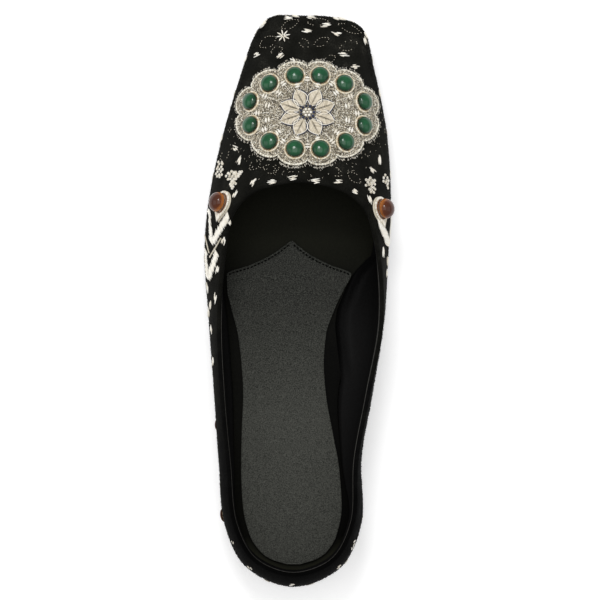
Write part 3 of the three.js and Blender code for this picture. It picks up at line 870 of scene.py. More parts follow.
for row, height in ((0, 0.0), (HEEL_LEVELS - 1, heel_top)):
    hub = len(heel_points)
    heel_points.append([*heel_middle, height])
    for k in range(count):
        triangle = [row * count + k, row * count + (k + 1) % count, hub]
        heel_faces.append(triangle[::-1] if row else triangle)
heel = make_piece("stacked_heel", np.array(heel_points), heel_faces, (SOLE,))
belong(heel, "sole_leather", "heel")
print("heel:", len(heel_faces), "faces")

# %% [markdown]
# ## The sock
# A pad of grey leather covers the footbed from the heel to a point under the instep. Its front edge sweeps
# from that point to the two corners, and a row of dark stitches in a pressed groove runs just inside it.
# The pad is a grid of points between two edge curves, so its skived edge and the groove are real shapes.

# %% Outline of the sock
SOCK_OUTLINE = np.array(
    [
        # distance from the back of the heel, outer edge, inner edge
        (9.3, -2, 4),
        (11.4, -9, 11),
        (15, -14.2, 16.2),
        (22.5, -19, 20.6),
        (35, -22, 22.9),
        (52, -22.9, 21.8),
        (70, -22.6, 18.6),
        (86, -22, 15.8),
        (100, -22.8, 14.8),
        (113, -24.4, 15.8),
        (125, -27.4, 19.8),
        (134, -29.4, 24),
        (141, -29.6, 27.4),
        (145.5, -18, 17),
        (150, -9, 8.4),
        (156.2, -0.4, 0.6),
    ]
)
SOCK_CORNER = 141.0
SOCK_THICK = 1.1
SEAM_INSIDE = 1.1  # from the front edge to its stitches


def front_seam(edge, count=120):
    """Points of the stitched seam on one side: the front edge moved inwards."""
    back = np.linspace(SOCK_CORNER, SOCK_OUTLINE[-1, 0], count)
    side = smooth_profile(SOCK_OUTLINE, edge, back)
    line = np.stack([side, back], axis=-1)
    along = unit(np.gradient(line, axis=0))
    inwards = np.stack([along[:, 1], -along[:, 0]], axis=-1)
    inwards = inwards * np.where(inwards[:, 1:] > 0, -1.0, 1.0)
    return line + inwards * SEAM_INSIDE


seams = [front_seam(1), front_seam(2)]
print("seam from", seams[0][0].round(1), "to", seams[0][-1].round(1))

# %% Sock pad
SOCK_ACROSS = 90
EDGE_ROUND = 0.4
PRESSED, PRESSED_HALF = 0.3, 0.4  # depth and half width of the seam's groove
SOCK_LIFT = 0.3 * SEAM  # from the top of the footbed to the underside of the sock
heel_end, toe_end = SOCK_OUTLINE[0, 0], SOCK_OUTLINE[-1, 0]
to_corner = np.linspace(heel_end, SOCK_CORNER - 2.5, 150)
rows = np.concatenate([to_corner, np.linspace(SOCK_CORNER - 2, toe_end, 50)])


def sock_height(plan):
    """Top of the sock: lies on the footbed, with a pressed groove along its front seam."""
    groove = np.zeros(plan.shape[:-1])
    for line in seams:
        away = np.linalg.norm(plan[..., None, :] - line, axis=-1).min(axis=-1)
        groove = np.maximum(groove, np.exp(-((away / PRESSED_HALF) ** 2)))
    return bed_top(plan[..., 1]) + SEAM + SOCK_THICK - PRESSED * groove


edge_out, edge_in = (smooth_profile(SOCK_OUTLINE, column, rows)[:, None] for column in (1, 2))
shares = 0.5 * (1 - np.cos(np.linspace(0, math.pi, SOCK_ACROSS)))
across = edge_out + (edge_in - edge_out) * shares
plan = np.stack([across, np.repeat(rows[:, None], SOCK_ACROSS, axis=1)], axis=-1)
from_edge = np.minimum(shares, 1 - shares) * (edge_in - edge_out)
from_edge = np.minimum(from_edge, (rows - rows[0] + 0.05)[:, None])
falls = EDGE_ROUND * (1 - np.sqrt(1 - (1 - ramp_up(from_edge, 0, EDGE_ROUND)) ** 2))
under_side = lifted(plan, bed_top(plan[..., 1]) + SOCK_LIFT)
sock = layer("sock_pad", lifted(plan, sock_height(plan) - falls), under_side, SOCK)
# painted shade: the sock is painted darker towards its front, where the vamp shades it
paint(sock, 0.48 - 0.25 * ramp_up(spots_of(sock)[1], 75, 130))
belong(sock, "sock_leather", "sock")
print("sock:", len(sock.data.polygons), "faces")

# %% [markdown]
# ## Stitches
# Nearly everything on the velvet is thread: dashes, knots, chevrons, dotted leaves, the edging of the
# applique. All of it is one small thing repeated, a plump strand lying on the cloth, so one Geometry Nodes
# tree lays a strand on each point of a chart, turned and stretched by that point's own values, and makes
# them one mesh.

# %% Tree that lays strands


def new_tree(name, inputs, result):
    """An empty tree with its named inputs and one geometry output."""
    tree = bpy.data.node_groups.new(name, "GeometryNodeTree")
    for label, kind in inputs.items():
        tree.interface.new_socket(label, in_out="INPUT", socket_type=f"NodeSocket{kind}")
    tree.interface.new_socket(result, in_out="OUTPUT", socket_type="NodeSocketGeometry")
    return tree, put(tree, "NodeGroupInput").outputs


def end_tree(tree, result, thread_socket, points, strand, turn, size):
    """Strands on points, made real, smooth and of one thread."""
    links = {"Points": points, "Instance": strand, "Rotation": turn, "Scale": size}
    laid = put(tree, "GeometryNodeInstanceOnPoints", links=links)
    real = put(tree, "GeometryNodeRealizeInstances", links={"Geometry": laid})
    smooth = put(tree, "GeometryNodeSetShadeSmooth", links={"Geometry": real})
    dyed = put(tree, "GeometryNodeSetMaterial", links={"Geometry": smooth, "Material": thread_socket})
    put(tree, "NodeGroupOutput", links={result: dyed})
    return tree


def strand_tree():
    """Lays one strand on each point of a chart, by the point's own direction, slope and size."""
    inputs = {"Chart": "Geometry", "Sides": "Int", "Bands": "Int", "Thread": "Material"}
    tree, entry = new_tree("laid_strands", inputs, "Stitches")
    links = {"Segments": entry["Sides"], "Rings": entry["Bands"]}
    strand = put(tree, "GeometryNodeMeshUVSphere", {"Radius": 0.5}, links)
    along, out, size = (
        put(tree, "GeometryNodeInputNamedAttribute", {"Name": name}, data_type="FLOAT_VECTOR")
        for name in ("along", "out", "size")
    )
    links = {"Primary Axis": along, "Secondary Axis": out}
    axes = {"primary_axis": "X", "secondary_axis": "Z"}
    turn = put(tree, "FunctionNodeAxesToRotation", None, links, **axes)
    return end_tree(tree, "Stitches", entry["Thread"], entry["Chart"], strand, turn, size)


STRANDS = strand_tree()
print("strand tree:", len(STRANDS.nodes), "nodes")

# %% Charts of strands


def bake_nodes(piece, tree, settings):
    """Runs a tree on an object and keeps the result as a plain mesh."""
    modifier = piece.modifiers.new(tree.name, "NODES")
    modifier.node_group = tree
    sockets = {item.name: item.identifier for item in tree.interface.items_tree if item.in_out == "INPUT"}
    for name, value in settings.items():
        modifier[sockets[name]] = value
    graph = bpy.context.evaluated_depsgraph_get()
    done = piece.evaluated_get(graph)
    mesh = bpy.data.meshes.new_from_object(done, preserve_all_data_layers=True, depsgraph=graph)
    piece.modifiers.clear()
    piece.data = mesh
    mesh.name = piece.name


class Chart:
    """A list of strands: middle, direction, outward normal, size in mm and tone, mostly from 0 to 1."""

    def __init__(self):
        self.rows = []

    def lay(self, middle, along, out, length, width, height, tone=None):
        """Adds one strand; without a tone it gets a middling one of its own."""
        shade = rng.uniform(0.25, 0.75) if tone is None else tone
        self.rows.append((*middle, *along, *out, length, width, height, shade))

    def sew(self, name, material, slot, sides=8, bands=5):
        """Makes the chart one piece."""
        table = np.array(self.rows)
        piece = make_piece(name, table[:, :3], [], (material,))
        vectors = {"along": table[:, 3:6], "out": table[:, 6:9], "size": table[:, 9:12] * MM}
        for key, values in vectors.items():
            attribute = piece.data.attributes.new(key, "FLOAT_VECTOR", "POINT")
            attribute.data.foreach_set("vector", np.ascontiguousarray(values).ravel())
        attribute = piece.data.attributes.new("tone", "FLOAT", "POINT")
        attribute.data.foreach_set("value", np.ascontiguousarray(table[:, 12]))
        bake_nodes(piece, STRANDS, {"Sides": sides, "Bands": bands, "Thread": material})
        belong(piece, slot)
        print(name, len(self.rows), "strands", len(piece.data.polygons), "faces")


# %% Seam of the sock
SEAM_PITCH = 1.7
SEAM_STITCH = (1.3, 0.62, 0.5)  # length, width and height of one stitch
SEAM_PROUD = 0.34
AT_POINT = 0.8  # the seam stops this far from the sock's point


def spaced(line, pitch):
    """Points and directions every pitch along a line of points."""
    steps = np.linalg.norm(np.diff(line, axis=0), axis=-1)
    run = np.concatenate([[0], np.cumsum(steps)])
    count = max(2, int(run[-1] / pitch))
    at = (np.arange(count) + 0.5) * run[-1] / count
    behind, points, ahead = (
        np.stack([np.interp(at + shift, run, column) for column in line.T], axis=-1)
        for shift in (-0.2, 0, 0.2)
    )
    return points, unit(ahead - behind)


sock_seam = Chart()
for line in seams:
    trimmed = line[np.abs(line[:, 0]) > AT_POINT]
    for spot, along in zip(*spaced(trimmed, SEAM_PITCH)):
        height = float(sock_height(spot[None, :])[0])
        sock_seam.lay((*spot, height + SEAM_PROUD), (*along, 0), (0, 0, 1), *SEAM_STITCH, tone=0.0)
sock_seam.sew("sock_seam_stitches", CHARCOAL, "sock_leather", sides=8, bands=6)

# %% [markdown]
# ## Finding places on the velvet
# A stitch is charted as it is seen from above, by its distance from the middle line and from the back of
# the heel. A ray from the camera's eye through that point finds the velvet, and gives the slope to lie on.
# Walls that can't be seen from above are charted by section and height instead.

# %% Rays to the velvet
wall_tree = BVHTree.FromPolygons([Vector(p) for p in wall.reshape(-1, 3)], wall_faces.tolist())
EYE = Vector((*EYE_OVER, EYE_HEIGHT))


def seen(side, back):
    """Point and normal of the velvet where the eye sees this place of the plan."""
    target = Vector((side, back, FOOTBED_HEIGHT))
    hit, normal, _, _ = wall_tree.ray_cast(EYE, (target - EYE).normalized())
    if hit is None:
        hit, normal, _, _ = wall_tree.find_nearest(target)
    return np.array(hit), np.array(normal)


def below(side, back):
    """Point and normal of the velvet straight under a place of the plan."""
    hit, normal, _, _ = wall_tree.ray_cast(Vector((side, back, 200.0)), Vector((0, 0, -1)))
    return np.array(hit), np.array(normal)


def to_velvet(point, normal):
    """Nearest place on the velvet, looking back along a normal."""
    hit, out, _, _ = wall_tree.ray_cast(Vector(point + normal * 8), Vector(-normal), 20)
    if hit is None:
        hit, out, _, _ = wall_tree.find_nearest(Vector(point))
    return np.array(hit), np.array(out)


def on_wall(section, up):
    """Point, normal, direction to the toe and direction up at a section and height."""
    turn, up = np.array(section / len(SECTIONS)), np.array(float(up))
    point, normal, rise = last_seat(turn, up)
    forward = np.cross(rise, normal)
    return point + normal * slack(turn, up), normal, forward if forward[1] > 0 else -forward, rise


def flat_to(direction, normal):
    """A direction laid onto the slope; one of the plan has no height."""
    direction = np.array([*direction, 0.0][:3])
    return unit(direction - normal * np.dot(direction, normal))


def heading(degrees):
    """A direction of the plan, turned from the inner side to the toe."""
    angle = math.radians(degrees)
    return np.array([math.cos(angle), math.sin(angle)])


def ring_of(across, ahead, count, start=0.0):
    """Outward and onward directions at even steps round a ring."""
    for k in range(count):
        turn = start + k / count * 2 * math.pi
        outward = math.cos(turn) * across + math.sin(turn) * ahead
        yield outward, math.cos(turn) * ahead - math.sin(turn) * across


print("velvet at the middle of the vamp:", seen(7.2, 212.5)[0].round(1))

# %% [markdown]
# ## The medallion
# An oval of couched silver thread on linen is sewn to the vamp, with a scalloped edge and a green stone in
# a ring of corded thread on each scallop. The ground is a polar grid laid on the velvet. Short strands
# scattered over it by Geometry Nodes give the mottled fill, and charts of strands make the edging, the
# rays, the bars and the flower.

# %% Ground of the medallion
MEDALLION_MIDDLE = np.array([7.2, 212.5])
MEDALLION_HALF = np.array([29.6, 21.0])
SCALLOP = 3.1
STONES = 12
STONE_INSET = 4.0
GROUND_THICK = 1.0
GROUND_TOP = SEAM + GROUND_THICK
FILL_SUNK = 0.25  # room that the ground leaves for the strands of the fill
GROUND_UNDER = 0.1  # underside of the ground above the velvet
DROP_FROM, EDGE_DROP = 0.94, 0.45  # share of the way to the rim, and how far the ground falls from there
RIM_STEPS = 288
SPREAD_STEPS = 40


def even_oval(half, count, steps=4000):
    """Points at even distances round an oval, and their outward directions, from its inner end."""
    angle = np.linspace(0, 2 * math.pi, steps + 1)
    line = np.stack([half[0] * np.cos(angle), half[1] * np.sin(angle)], axis=-1)
    run = np.concatenate([[0], np.cumsum(np.linalg.norm(np.diff(line, axis=0), axis=-1))])
    at = np.interp(np.arange(count) / count * run[-1], run, angle)
    points = np.stack([half[0] * np.cos(at), half[1] * np.sin(at)], axis=-1)
    outward = np.stack([half[1] * np.cos(at), half[0] * np.sin(at)], axis=-1)
    return points + MEDALLION_MIDDLE, unit(outward)


def scalloped(count, extra=0.0):
    """The scalloped outline: one lobe to a stone."""
    points, outward = even_oval(MEDALLION_HALF, count)
    lobe = SCALLOP * np.sqrt(np.abs(np.sin(np.arange(count) / count * STONES * math.pi)))
    return points + outward * (lobe + extra)[:, None], outward


rim, _ = scalloped(RIM_STEPS)
top_points = []
under_points = []
for share in np.linspace(0, 1, SPREAD_STEPS)[1:]:
    edge_drop = EDGE_DROP * max(0.0, (share - DROP_FROM) / (1 - DROP_FROM)) ** 2
    for spot in MEDALLION_MIDDLE + (rim - MEDALLION_MIDDLE) * share:
        hit, normal = below(*spot)
        top_points.append(hit + normal * (GROUND_TOP - FILL_SUNK - edge_drop))
        under_points.append(hit + normal * GROUND_UNDER)
hit, normal = below(*MEDALLION_MIDDLE)
top_points.append(hit + normal * (GROUND_TOP - FILL_SUNK))
under_points.append(hit + normal * GROUND_UNDER)

hub = len(top_points) - 1
top_faces = grid_faces(SPREAD_STEPS - 1, RIM_STEPS, closed_columns=True)[:, ::-1].tolist()
top_faces += [[k, (k + 1) % RIM_STEPS, hub] for k in range(RIM_STEPS)]
under_faces = [[hub + 1 + v for v in reversed(face)] for face in top_faces]
side_faces = []
for k in range(RIM_STEPS):
    a, b = hub - RIM_STEPS + k, hub - RIM_STEPS + (k + 1) % RIM_STEPS
    side_faces.append([b, a, hub + 1 + a, hub + 1 + b])
medallion_faces = top_faces + under_faces + side_faces
medallion = make_piece("medallion_ground", np.array(top_points + under_points), medallion_faces, (GROUND,))
belong(medallion, "silver_thread", "medallion")
print("medallion ground:", len(medallion.data.polygons), "faces")

# %% Tree that scatters short strands


def scatter_tree():
    """Scatters strands over a sheet, each with its own turn, size and tone."""
    inputs = {
        "Ground": "Geometry",
        "Spacing": "Float",
        "Most per Area": "Float",
        "Smallest": "Vector",
        "Largest": "Vector",
        "Seed": "Int",
        "Thread": "Material",
    }
    tree, entry = new_tree("scattered_strands", inputs, "Fill")
    seed = {"Seed": entry["Seed"]}
    links = {"Mesh": entry["Ground"], "Distance Min": entry["Spacing"], "Density Max": entry["Most per Area"]}
    spread = {"distribute_method": "POISSON"}
    points = put(tree, "GeometryNodeDistributePointsOnFaces", None, {**links, **seed}, **spread)
    shade = put(tree, "FunctionNodeRandomValue", None, seed, data_type="FLOAT").outputs[1]
    links = {"Geometry": points, "Value": shade}
    kept = {"data_type": "FLOAT", "domain": "POINT"}
    toned = put(tree, "GeometryNodeStoreNamedAttribute", {"Name": "tone"}, links, **kept)
    angle = put(tree, "FunctionNodeRandomValue", {3: 2 * math.pi}, seed, data_type="FLOAT").outputs[1]
    spin = put(tree, "FunctionNodeAxisAngleToRotation", None, {"Angle": angle})
    links = {"Rotation": points.outputs["Rotation"], "Rotate By": spin}
    turn = put(tree, "FunctionNodeRotateRotation", None, links, rotation_space="LOCAL")
    links = {0: entry["Smallest"], 1: entry["Largest"], **seed}
    size = put(tree, "FunctionNodeRandomValue", None, links, data_type="FLOAT_VECTOR")
    strand = put(tree, "GeometryNodeMeshUVSphere", {"Segments": 5, "Rings": 3, "Radius": 0.5})
    return end_tree(tree, "Fill", entry["Thread"], toned, strand, turn, size)


SCATTER = scatter_tree()
print("scatter tree:", len(SCATTER.nodes), "nodes")

# %% Silver fill
fill = make_piece("silver_fill", np.array(top_points), top_faces, (SILVER,))
bake_nodes(
    fill,
    SCATTER,
    {
        "Spacing": 0.54 * MM,
        "Most per Area": 6.0e6,
        "Smallest": (0.5 * MM, 0.34 * MM, 0.3 * MM),
        "Largest": (1.15 * MM, 0.52 * MM, 0.55 * MM),
        "Seed": 7,
        "Thread": SILVER,
    },
)
belong(fill, "silver_thread")
print("silver fill:", len(fill.data.polygons), "faces")

# %% Edging and fringe of the medallion
EDGING_STITCHES = 700
EDGING_IN, EDGING_PROUD = 0.45, 0.55  # inside the rim and above the seam
EDGING_STRAND = (0.36, 0.6)  # width and height
FRINGE_ENDS = 520
FRINGE_OUT, FRINGE_PROUD = 0.5, 0.14
FRINGE_THICK = 0.26
FRINGE_BARE = 0.3  # share of the places that have no loose end

edging = Chart()
for spot, outward in zip(*scalloped(EDGING_STITCHES, extra=-EDGING_IN)):
    hit, normal = below(*spot)
    length, tone = rng.uniform(0.8, 1.4), rng.uniform(0.3, 1.0)
    middle = hit + normal * (SEAM + EDGING_PROUD)
    edging.lay(middle, flat_to(outward, normal), normal, length, *EDGING_STRAND, tone)
edging.sew("medallion_edging", SILVER, "silver_thread", sides=6, bands=4)

fringe = Chart()
for spot, outward in zip(*scalloped(FRINGE_ENDS, extra=FRINGE_OUT)):
    if rng.uniform() < FRINGE_BARE:
        continue
    hit, normal = below(*(spot + outward * rng.uniform(0.0, 0.7)))
    lean = np.array([-outward[1], outward[0]]) * rng.uniform(-0.4, 0.4)
    length, tone = rng.uniform(0.5, 1.6), rng.uniform(0.0, 0.6)
    middle = hit + normal * FRINGE_PROUD
    along = flat_to(outward + lean, normal)
    fringe.lay(middle, along, normal, length, FRINGE_THICK, FRINGE_THICK, tone)
fringe.sew("medallion_fringe", IVORY, "ivory_thread", sides=5, bands=3)

# %% Stones of the medallion
GREEN_RADIUS, GREEN_HEIGHT = 3.9, 3.1
STONE_LIFT = 0.55
RING_STITCHES, BEZEL_STITCHES = 40, 26
RING_STITCH, BEZEL_STITCH = (1.3, 0.62, 1.25), (1.15, 0.4, 0.9)  # length, width and height
RING_OUT, RING_UP = 0.58, 0.25  # beyond the stone and above the ground
BEZEL_OUT, BEZEL_UP = 0.1, 0.35
CORD_ALONG, CORD_OUT = 0.88, 0.47  # slant of the stitches in a ring


def dome(seat, normal, radius, height, lift, around=40, steps=14):
    """Points and faces of a polished domed stone with a flat back."""
    girdle = 0.25 * height
    angle = np.linspace(0, math.pi / 2, steps)
    profile = [(0.86 * radius, 0.0), (0.97 * radius, 0.35 * girdle)]
    profile += [(radius * math.cos(a), girdle + (height - girdle) * math.sin(a)) for a in angle[:-1]]
    across = unit(np.cross(normal, (0.0, 1.0, 0.0)))
    spokes = [outward for outward, _ in ring_of(across, np.cross(normal, across), around)]
    points = [seat + normal * (lift + h) + r * spoke for r, h in profile for spoke in spokes]
    faces = grid_faces(len(profile), around, closed_columns=True)[:, ::-1].tolist()
    crown, back = len(points), len(points) + 1
    points += [seat + normal * (lift + height), seat + normal * lift]
    last = (len(profile) - 1) * around
    for k in range(around):
        faces.append([last + k, last + (k + 1) % around, crown])
        faces.append([(k + 1) % around, k, back])
    return np.array(points), faces


stone_plan, _ = even_oval(MEDALLION_HALF - STONE_INSET, 2 * STONES)
rings = Chart()
bezels = Chart()
for i, spot in enumerate(stone_plan[1::2], 1):
    seat, normal = below(*spot)
    points, faces = dome(seat, normal, GREEN_RADIUS, GREEN_HEIGHT, GROUND_TOP + STONE_LIFT)
    stone = make_piece(f"green_stone_{i:02d}_polished", points, faces, (GREEN,))
    # painted shade: the stone's paint is its height share, darker towards its seat
    paint(stone, ((points - seat) @ normal - GROUND_TOP - STONE_LIFT) / GREEN_HEIGHT)
    belong(stone, "green_stone", f"green_stone_{i:02d}")
    across = flat_to((1, 0), normal)
    ahead = np.cross(normal, across)
    for outward, along in ring_of(across, ahead, RING_STITCHES):
        middle = seat + outward * (GREEN_RADIUS + RING_OUT) + normal * (GROUND_TOP + RING_UP)
        slanted = CORD_ALONG * along + CORD_OUT * outward
        rings.lay(middle, slanted, normal, *RING_STITCH, rng.uniform(0.0, 0.9))
    for outward, along in ring_of(across, ahead, BEZEL_STITCHES, math.pi / BEZEL_STITCHES):
        middle = seat + outward * (GREEN_RADIUS + BEZEL_OUT) + normal * (GROUND_TOP + BEZEL_UP)
        bezels.lay(middle, along, normal, *BEZEL_STITCH, rng.uniform(0.0, 0.6))
rings.sew("stone_rings", CREAM, "ivory_thread", sides=6, bands=5)
bezels.sew("stone_bezels", GOLD, "silver_thread", sides=5, bands=3)

# %% [markdown]
# Inside the ring of stones an eight-petalled flower in pale satin stitch, outlined in ivory and navy, sits
# on fine rays, with small paired bars between them.

# %% Petals
PETALS = 8
PETAL_REACH = np.array([4.2, 12.2])  # from the middle of the flower
PETAL_HALF = 2.9
PETAL_FLATTEN = 0.82  # the flower follows the oval
SATIN_ROWS = 17
SATIN_STRAND = (0.6, 0.7)  # width and height
SATIN_UP, OUTLINE_UP = 0.35, 0.4  # above the ground
OUTLINE_STEPS = 15
OUTLINE_STITCH = 1.1
OUTLINE_OUT = 0.25
ONWARD = 0.03  # share of a petal to the place that an outline stitch points to


def on_ground(plan, lift):
    """A place on top of the silver fill."""
    hit, normal = below(*plan)
    return hit + normal * (GROUND_TOP + lift), normal


def petal_half(step):
    """Half width of a petal from its foot at 0 to its tip at 1."""
    return PETAL_HALF * math.sin(math.pi * min(max(step, 0.02), 0.98) ** 0.8) ** 0.8


flower = Chart()
petals = Chart()
outline_thread = Chart()
for petal in range(PETALS):
    turn = (petal + 0.5) / PETALS * 2 * math.pi
    axis = unit(np.array([math.cos(turn), PETAL_FLATTEN * math.sin(turn)]))
    across = np.array([-axis[1], axis[0]])
    foot, tip = PETAL_REACH * (0.86 + 0.14 * abs(math.cos(turn)))
    for step in np.linspace(0.03, 0.97, SATIN_ROWS):
        half = petal_half(step)
        at = MEDALLION_MIDDLE + axis * (foot + (tip - foot) * step)
        for hand in (-1, 1):
            middle, normal = on_ground(at + across * hand * half / 2, SATIN_UP)
            along = flat_to(across * hand * 0.8 + axis * 0.6, normal)
            petals.lay(middle, along, normal, half * 1.25 + 0.4, *SATIN_STRAND)
    for step in np.linspace(0.0, 1.0, OUTLINE_STEPS):
        half = petal_half(step) + OUTLINE_OUT
        half_ahead = petal_half(step + ONWARD) + OUTLINE_OUT
        at = MEDALLION_MIDDLE + axis * (foot + (tip - foot) * step)
        to = MEDALLION_MIDDLE + axis * (foot + (tip - foot) * (step + ONWARD))
        for hand in (-1, 1):
            ahead = to - at + across * hand * (half_ahead - half)
            for chart, shift, thick in ((flower, 0.0, 0.5), (outline_thread, 0.5, 0.42)):
                middle, normal = on_ground(at + across * hand * (half + shift), OUTLINE_UP)
                chart.lay(middle, flat_to(ahead, normal), normal, OUTLINE_STITCH, thick, 0.6)
print("satin stitches in the petals:", len(petals.rows))

# %% Heart, rays and bars
HEART_RINGS = ((0.0, 1, flower), (1.5, 6, flower), (2.9, 11, outline_thread))  # radius, knots, thread
HEART_KNOT = (1.4, 1.4, 1.2)  # length, width and height
RAYS = 24
RAY_REACH = (0.5, 0.80)  # shares of the way to the rim
RAY_PITCH = 1.3
RAY_STITCH = (1.6, 0.42, 0.6)
BAR_REACH = (0.72, 0.60)
BAR_HALF_GAP = 0.575
BAR_STITCH = (2.9, 0.95, 1.0)
HEART_UP, RAY_UP, BAR_UP = 0.45, 0.3, 0.42  # above the ground

for ring_radius, knot_count, chart in HEART_RINGS:
    for outward, _ in ring_of(np.array([1.0, 0.0]), np.array([0.0, 1.0]), knot_count):
        middle, normal = on_ground(MEDALLION_MIDDLE + ring_radius * outward, HEART_UP)
        chart.lay(middle, flat_to((1, 0), normal), normal, *HEART_KNOT)
for ray in range(RAYS):
    turn = ray / RAYS * 2 * math.pi
    tip = MEDALLION_HALF * np.array([math.cos(turn), math.sin(turn)])
    line = MEDALLION_MIDDLE + tip * np.linspace(*RAY_REACH, 40)[:, None]
    for at, along in zip(*spaced(line, RAY_PITCH)):
        middle, normal = on_ground(at, RAY_UP)
        flower.lay(middle, flat_to(along, normal), normal, *RAY_STITCH)
    outward = unit(tip)
    for hand in (-BAR_HALF_GAP, BAR_HALF_GAP):
        middle, normal = on_ground(MEDALLION_MIDDLE + tip * BAR_REACH[ray % 2] + outward * hand, BAR_UP)
        flower.lay(middle, flat_to((-outward[1], outward[0]), normal), normal, *BAR_STITCH)
petals.sew("medallion_petals", PALE, "silver_thread", sides=6, bands=5)
flower.sew("medallion_flower", IVORY, "ivory_thread", sides=6, bands=5)
outline_thread.sew("medallion_outline", NAVY, "ivory_thread", sides=6, bands=4)

# %% [markdown]
# ## Amber stones in teardrop settings
# High domes of brown amber sit on both shoulders, each in a padded teardrop of ivory satin stitch whose
# point trails to the heel. Two flatter ones sit low on the outer wall.

# %% Drops and pads
SETTINGS = (
    # name, section, height up it, radius, tail, thickness, stone radius, stone height
    ("outer_shoulder", 7.2, 0.82, 5.8, 8.8, 1.0, 4.5, 5.0),
    ("inner_shoulder", 17.06, 0.8, 5.8, 8.8, 1.0, 4.5, 5.0),
    ("outer_wall_front", 3.55, 0.11, 4.2, 6.4, 0.6, 3.1, 1.3),
    ("outer_wall_back", 2.14, 0.11, 4.2, 6.4, 0.6, 3.1, 1.3),
)
PAD_SHARES = (1.0, 0.97, 0.9, 0.75, 0.5, 0.25)  # rings of the pad, from its rim inwards
PAD_PROUD = 0.05
PAD_SUNK = 0.2
PAD_POINTS, SATIN_POINTS = 88, 76
TAIL_POINTS = 8  # on each straight side of a drop


def teardrop(radius, tail, count):
    """Outline of a drop whose point is at -y."""
    lean = math.asin(radius / tail)
    arc = np.linspace(-lean, math.pi + lean, count - 2 * TAIL_POINTS)
    round_part = np.stack([radius * np.cos(arc), radius * np.sin(arc)], axis=-1)
    point = np.array([0.0, -tail])
    share = np.linspace(0, 1, TAIL_POINTS + 1)[1:, None]
    fall = round_part[-1] + (point - round_part[-1]) * share
    climb = point + (round_part[0] - point) * share[:-1]
    return np.concatenate([round_part, fall, climb])


def domed_pad(rim_plan, thick, seat_at):
    """Points and faces of a padded shape on the velvet, sunk a little at its back."""
    points = []
    for share in PAD_SHARES:
        swell = thick * (1 - ((share - 0.4) / 0.6) ** 4) if share > 0.4 else thick
        for spot in rim_plan * share:
            hit, out = seat_at(spot)
            points.append(hit + out * (PAD_PROUD + max(0.0, swell)))
    hit, out = seat_at((0.0, 0.0))
    points.append(hit + out * (PAD_PROUD + thick))
    for spot in rim_plan:
        hit, out = seat_at(spot)
        points.append(hit - out * PAD_SUNK)
    around, rings = len(rim_plan), len(PAD_SHARES)
    inmost, hub = (rings - 1) * around, rings * around
    back = [hub + 1 + k for k in range(around)]
    faces = grid_faces(rings, around, closed_columns=True).tolist() + [back]
    for k in range(around):
        after = (k + 1) % around
        faces.append([hub, inmost + after, inmost + k])
        faces.append([k, after, back[after], back[k]])
    return np.array(points), faces


print("settings:", len(SETTINGS))

# %% Teardrop settings
AMBER_BEZEL = 30
AMBER_STITCH = (1.5, 0.24, 0.8)  # length, width and height
AMBER_UP = 0.1  # bezel above the pad
UNDER_STONE = 0.88  # the satin stitches start at this share of the stone's radius
DROP_STRAND = (0.5, 0.6)  # width and height

shoulder_satin = Chart()
wall_satin = Chart()
amber_bezels = Chart()
for name, section, up, radius, tail, thick, stone_radius, stone_height in SETTINGS:
    seat, normal, forward, _ = on_wall(section, up)
    across = np.cross(forward, normal)

    def seat_at(spot):
        """The velvet under a place of this setting."""
        return to_velvet(seat + across * spot[0] + forward * spot[1], normal)

    shoulder = "shoulder" in name
    # painted shade: the two low settings on the outer wall are sewn in darker gold thread rather than ivory,
    # and their stones get less painted glow and a darker bezel
    chart, pad_thread = (shoulder_satin, IVORY) if shoulder else (wall_satin, GOLD)
    glow, shade = (0.72, 0.5) if shoulder else (0.4, -0.2)
    points, faces = domed_pad(teardrop(radius, tail, PAD_POINTS), thick, seat_at)
    pad = make_piece(f"amber_setting_{name}_pad", points, faces, (pad_thread,))
    belong(pad, "ivory_thread", f"amber_setting_{name}")
    inner_end = stone_radius * UNDER_STONE
    for spot in teardrop(radius, tail, SATIN_POINTS):
        reach = math.hypot(*spot)
        outward = spot / reach
        hit, out = seat_at(outward * (inner_end + reach) / 2)
        toward = flat_to(across * outward[0] + forward * outward[1], out)
        length = reach - inner_end + 0.1
        middle = hit + out * (thick + PAD_PROUD)
        chart.lay(middle, toward, out, length, *DROP_STRAND, rng.uniform(0.0, 0.9))
    for outward, along in ring_of(across, forward, AMBER_BEZEL):
        middle = seat + outward * stone_radius + normal * (SEAM + thick + AMBER_UP)
        amber_bezels.lay(middle, along, normal, *AMBER_STITCH, shade)
    points, faces = dome(seat, normal, stone_radius, stone_height, SEAM + thick + STONE_LIFT)
    stone = make_piece(f"amber_stone_{name}_polished", points, faces, (AMBER,))
    # painted glow: the stone turns orange with distance from a dark core set towards the outside of the shoe
    dark_core = seat + normal * (SEAM + thick + STONE_LIFT + 0.45 * stone_height)
    dark_core = dark_core + 0.35 * stone_radius * np.sign(seat[0]) * np.array([1.0, -0.3, 0.0])
    paint(stone, glow * np.linalg.norm((points - dark_core)[:, :2], axis=1) / stone_radius)
    belong(stone, "amber_stone", f"amber_stone_{name}")
amber_bezels.sew("amber_bezels", UMBER, "amber_stone", sides=5, bands=4)
shoulder_satin.sew("shoulder_satin_stitch", IVORY, "ivory_thread", sides=6, bands=5)
wall_satin.sew("wall_satin_stitch", GOLD, "ivory_thread", sides=6, bands=5)

# %% [markdown]
# ## Embroidery on the velvet
# The scattered dashes are four loose strands each; knots are wound from five short strands; leaves are
# outlined in tiny running stitches. Their places are charted as seen from above.

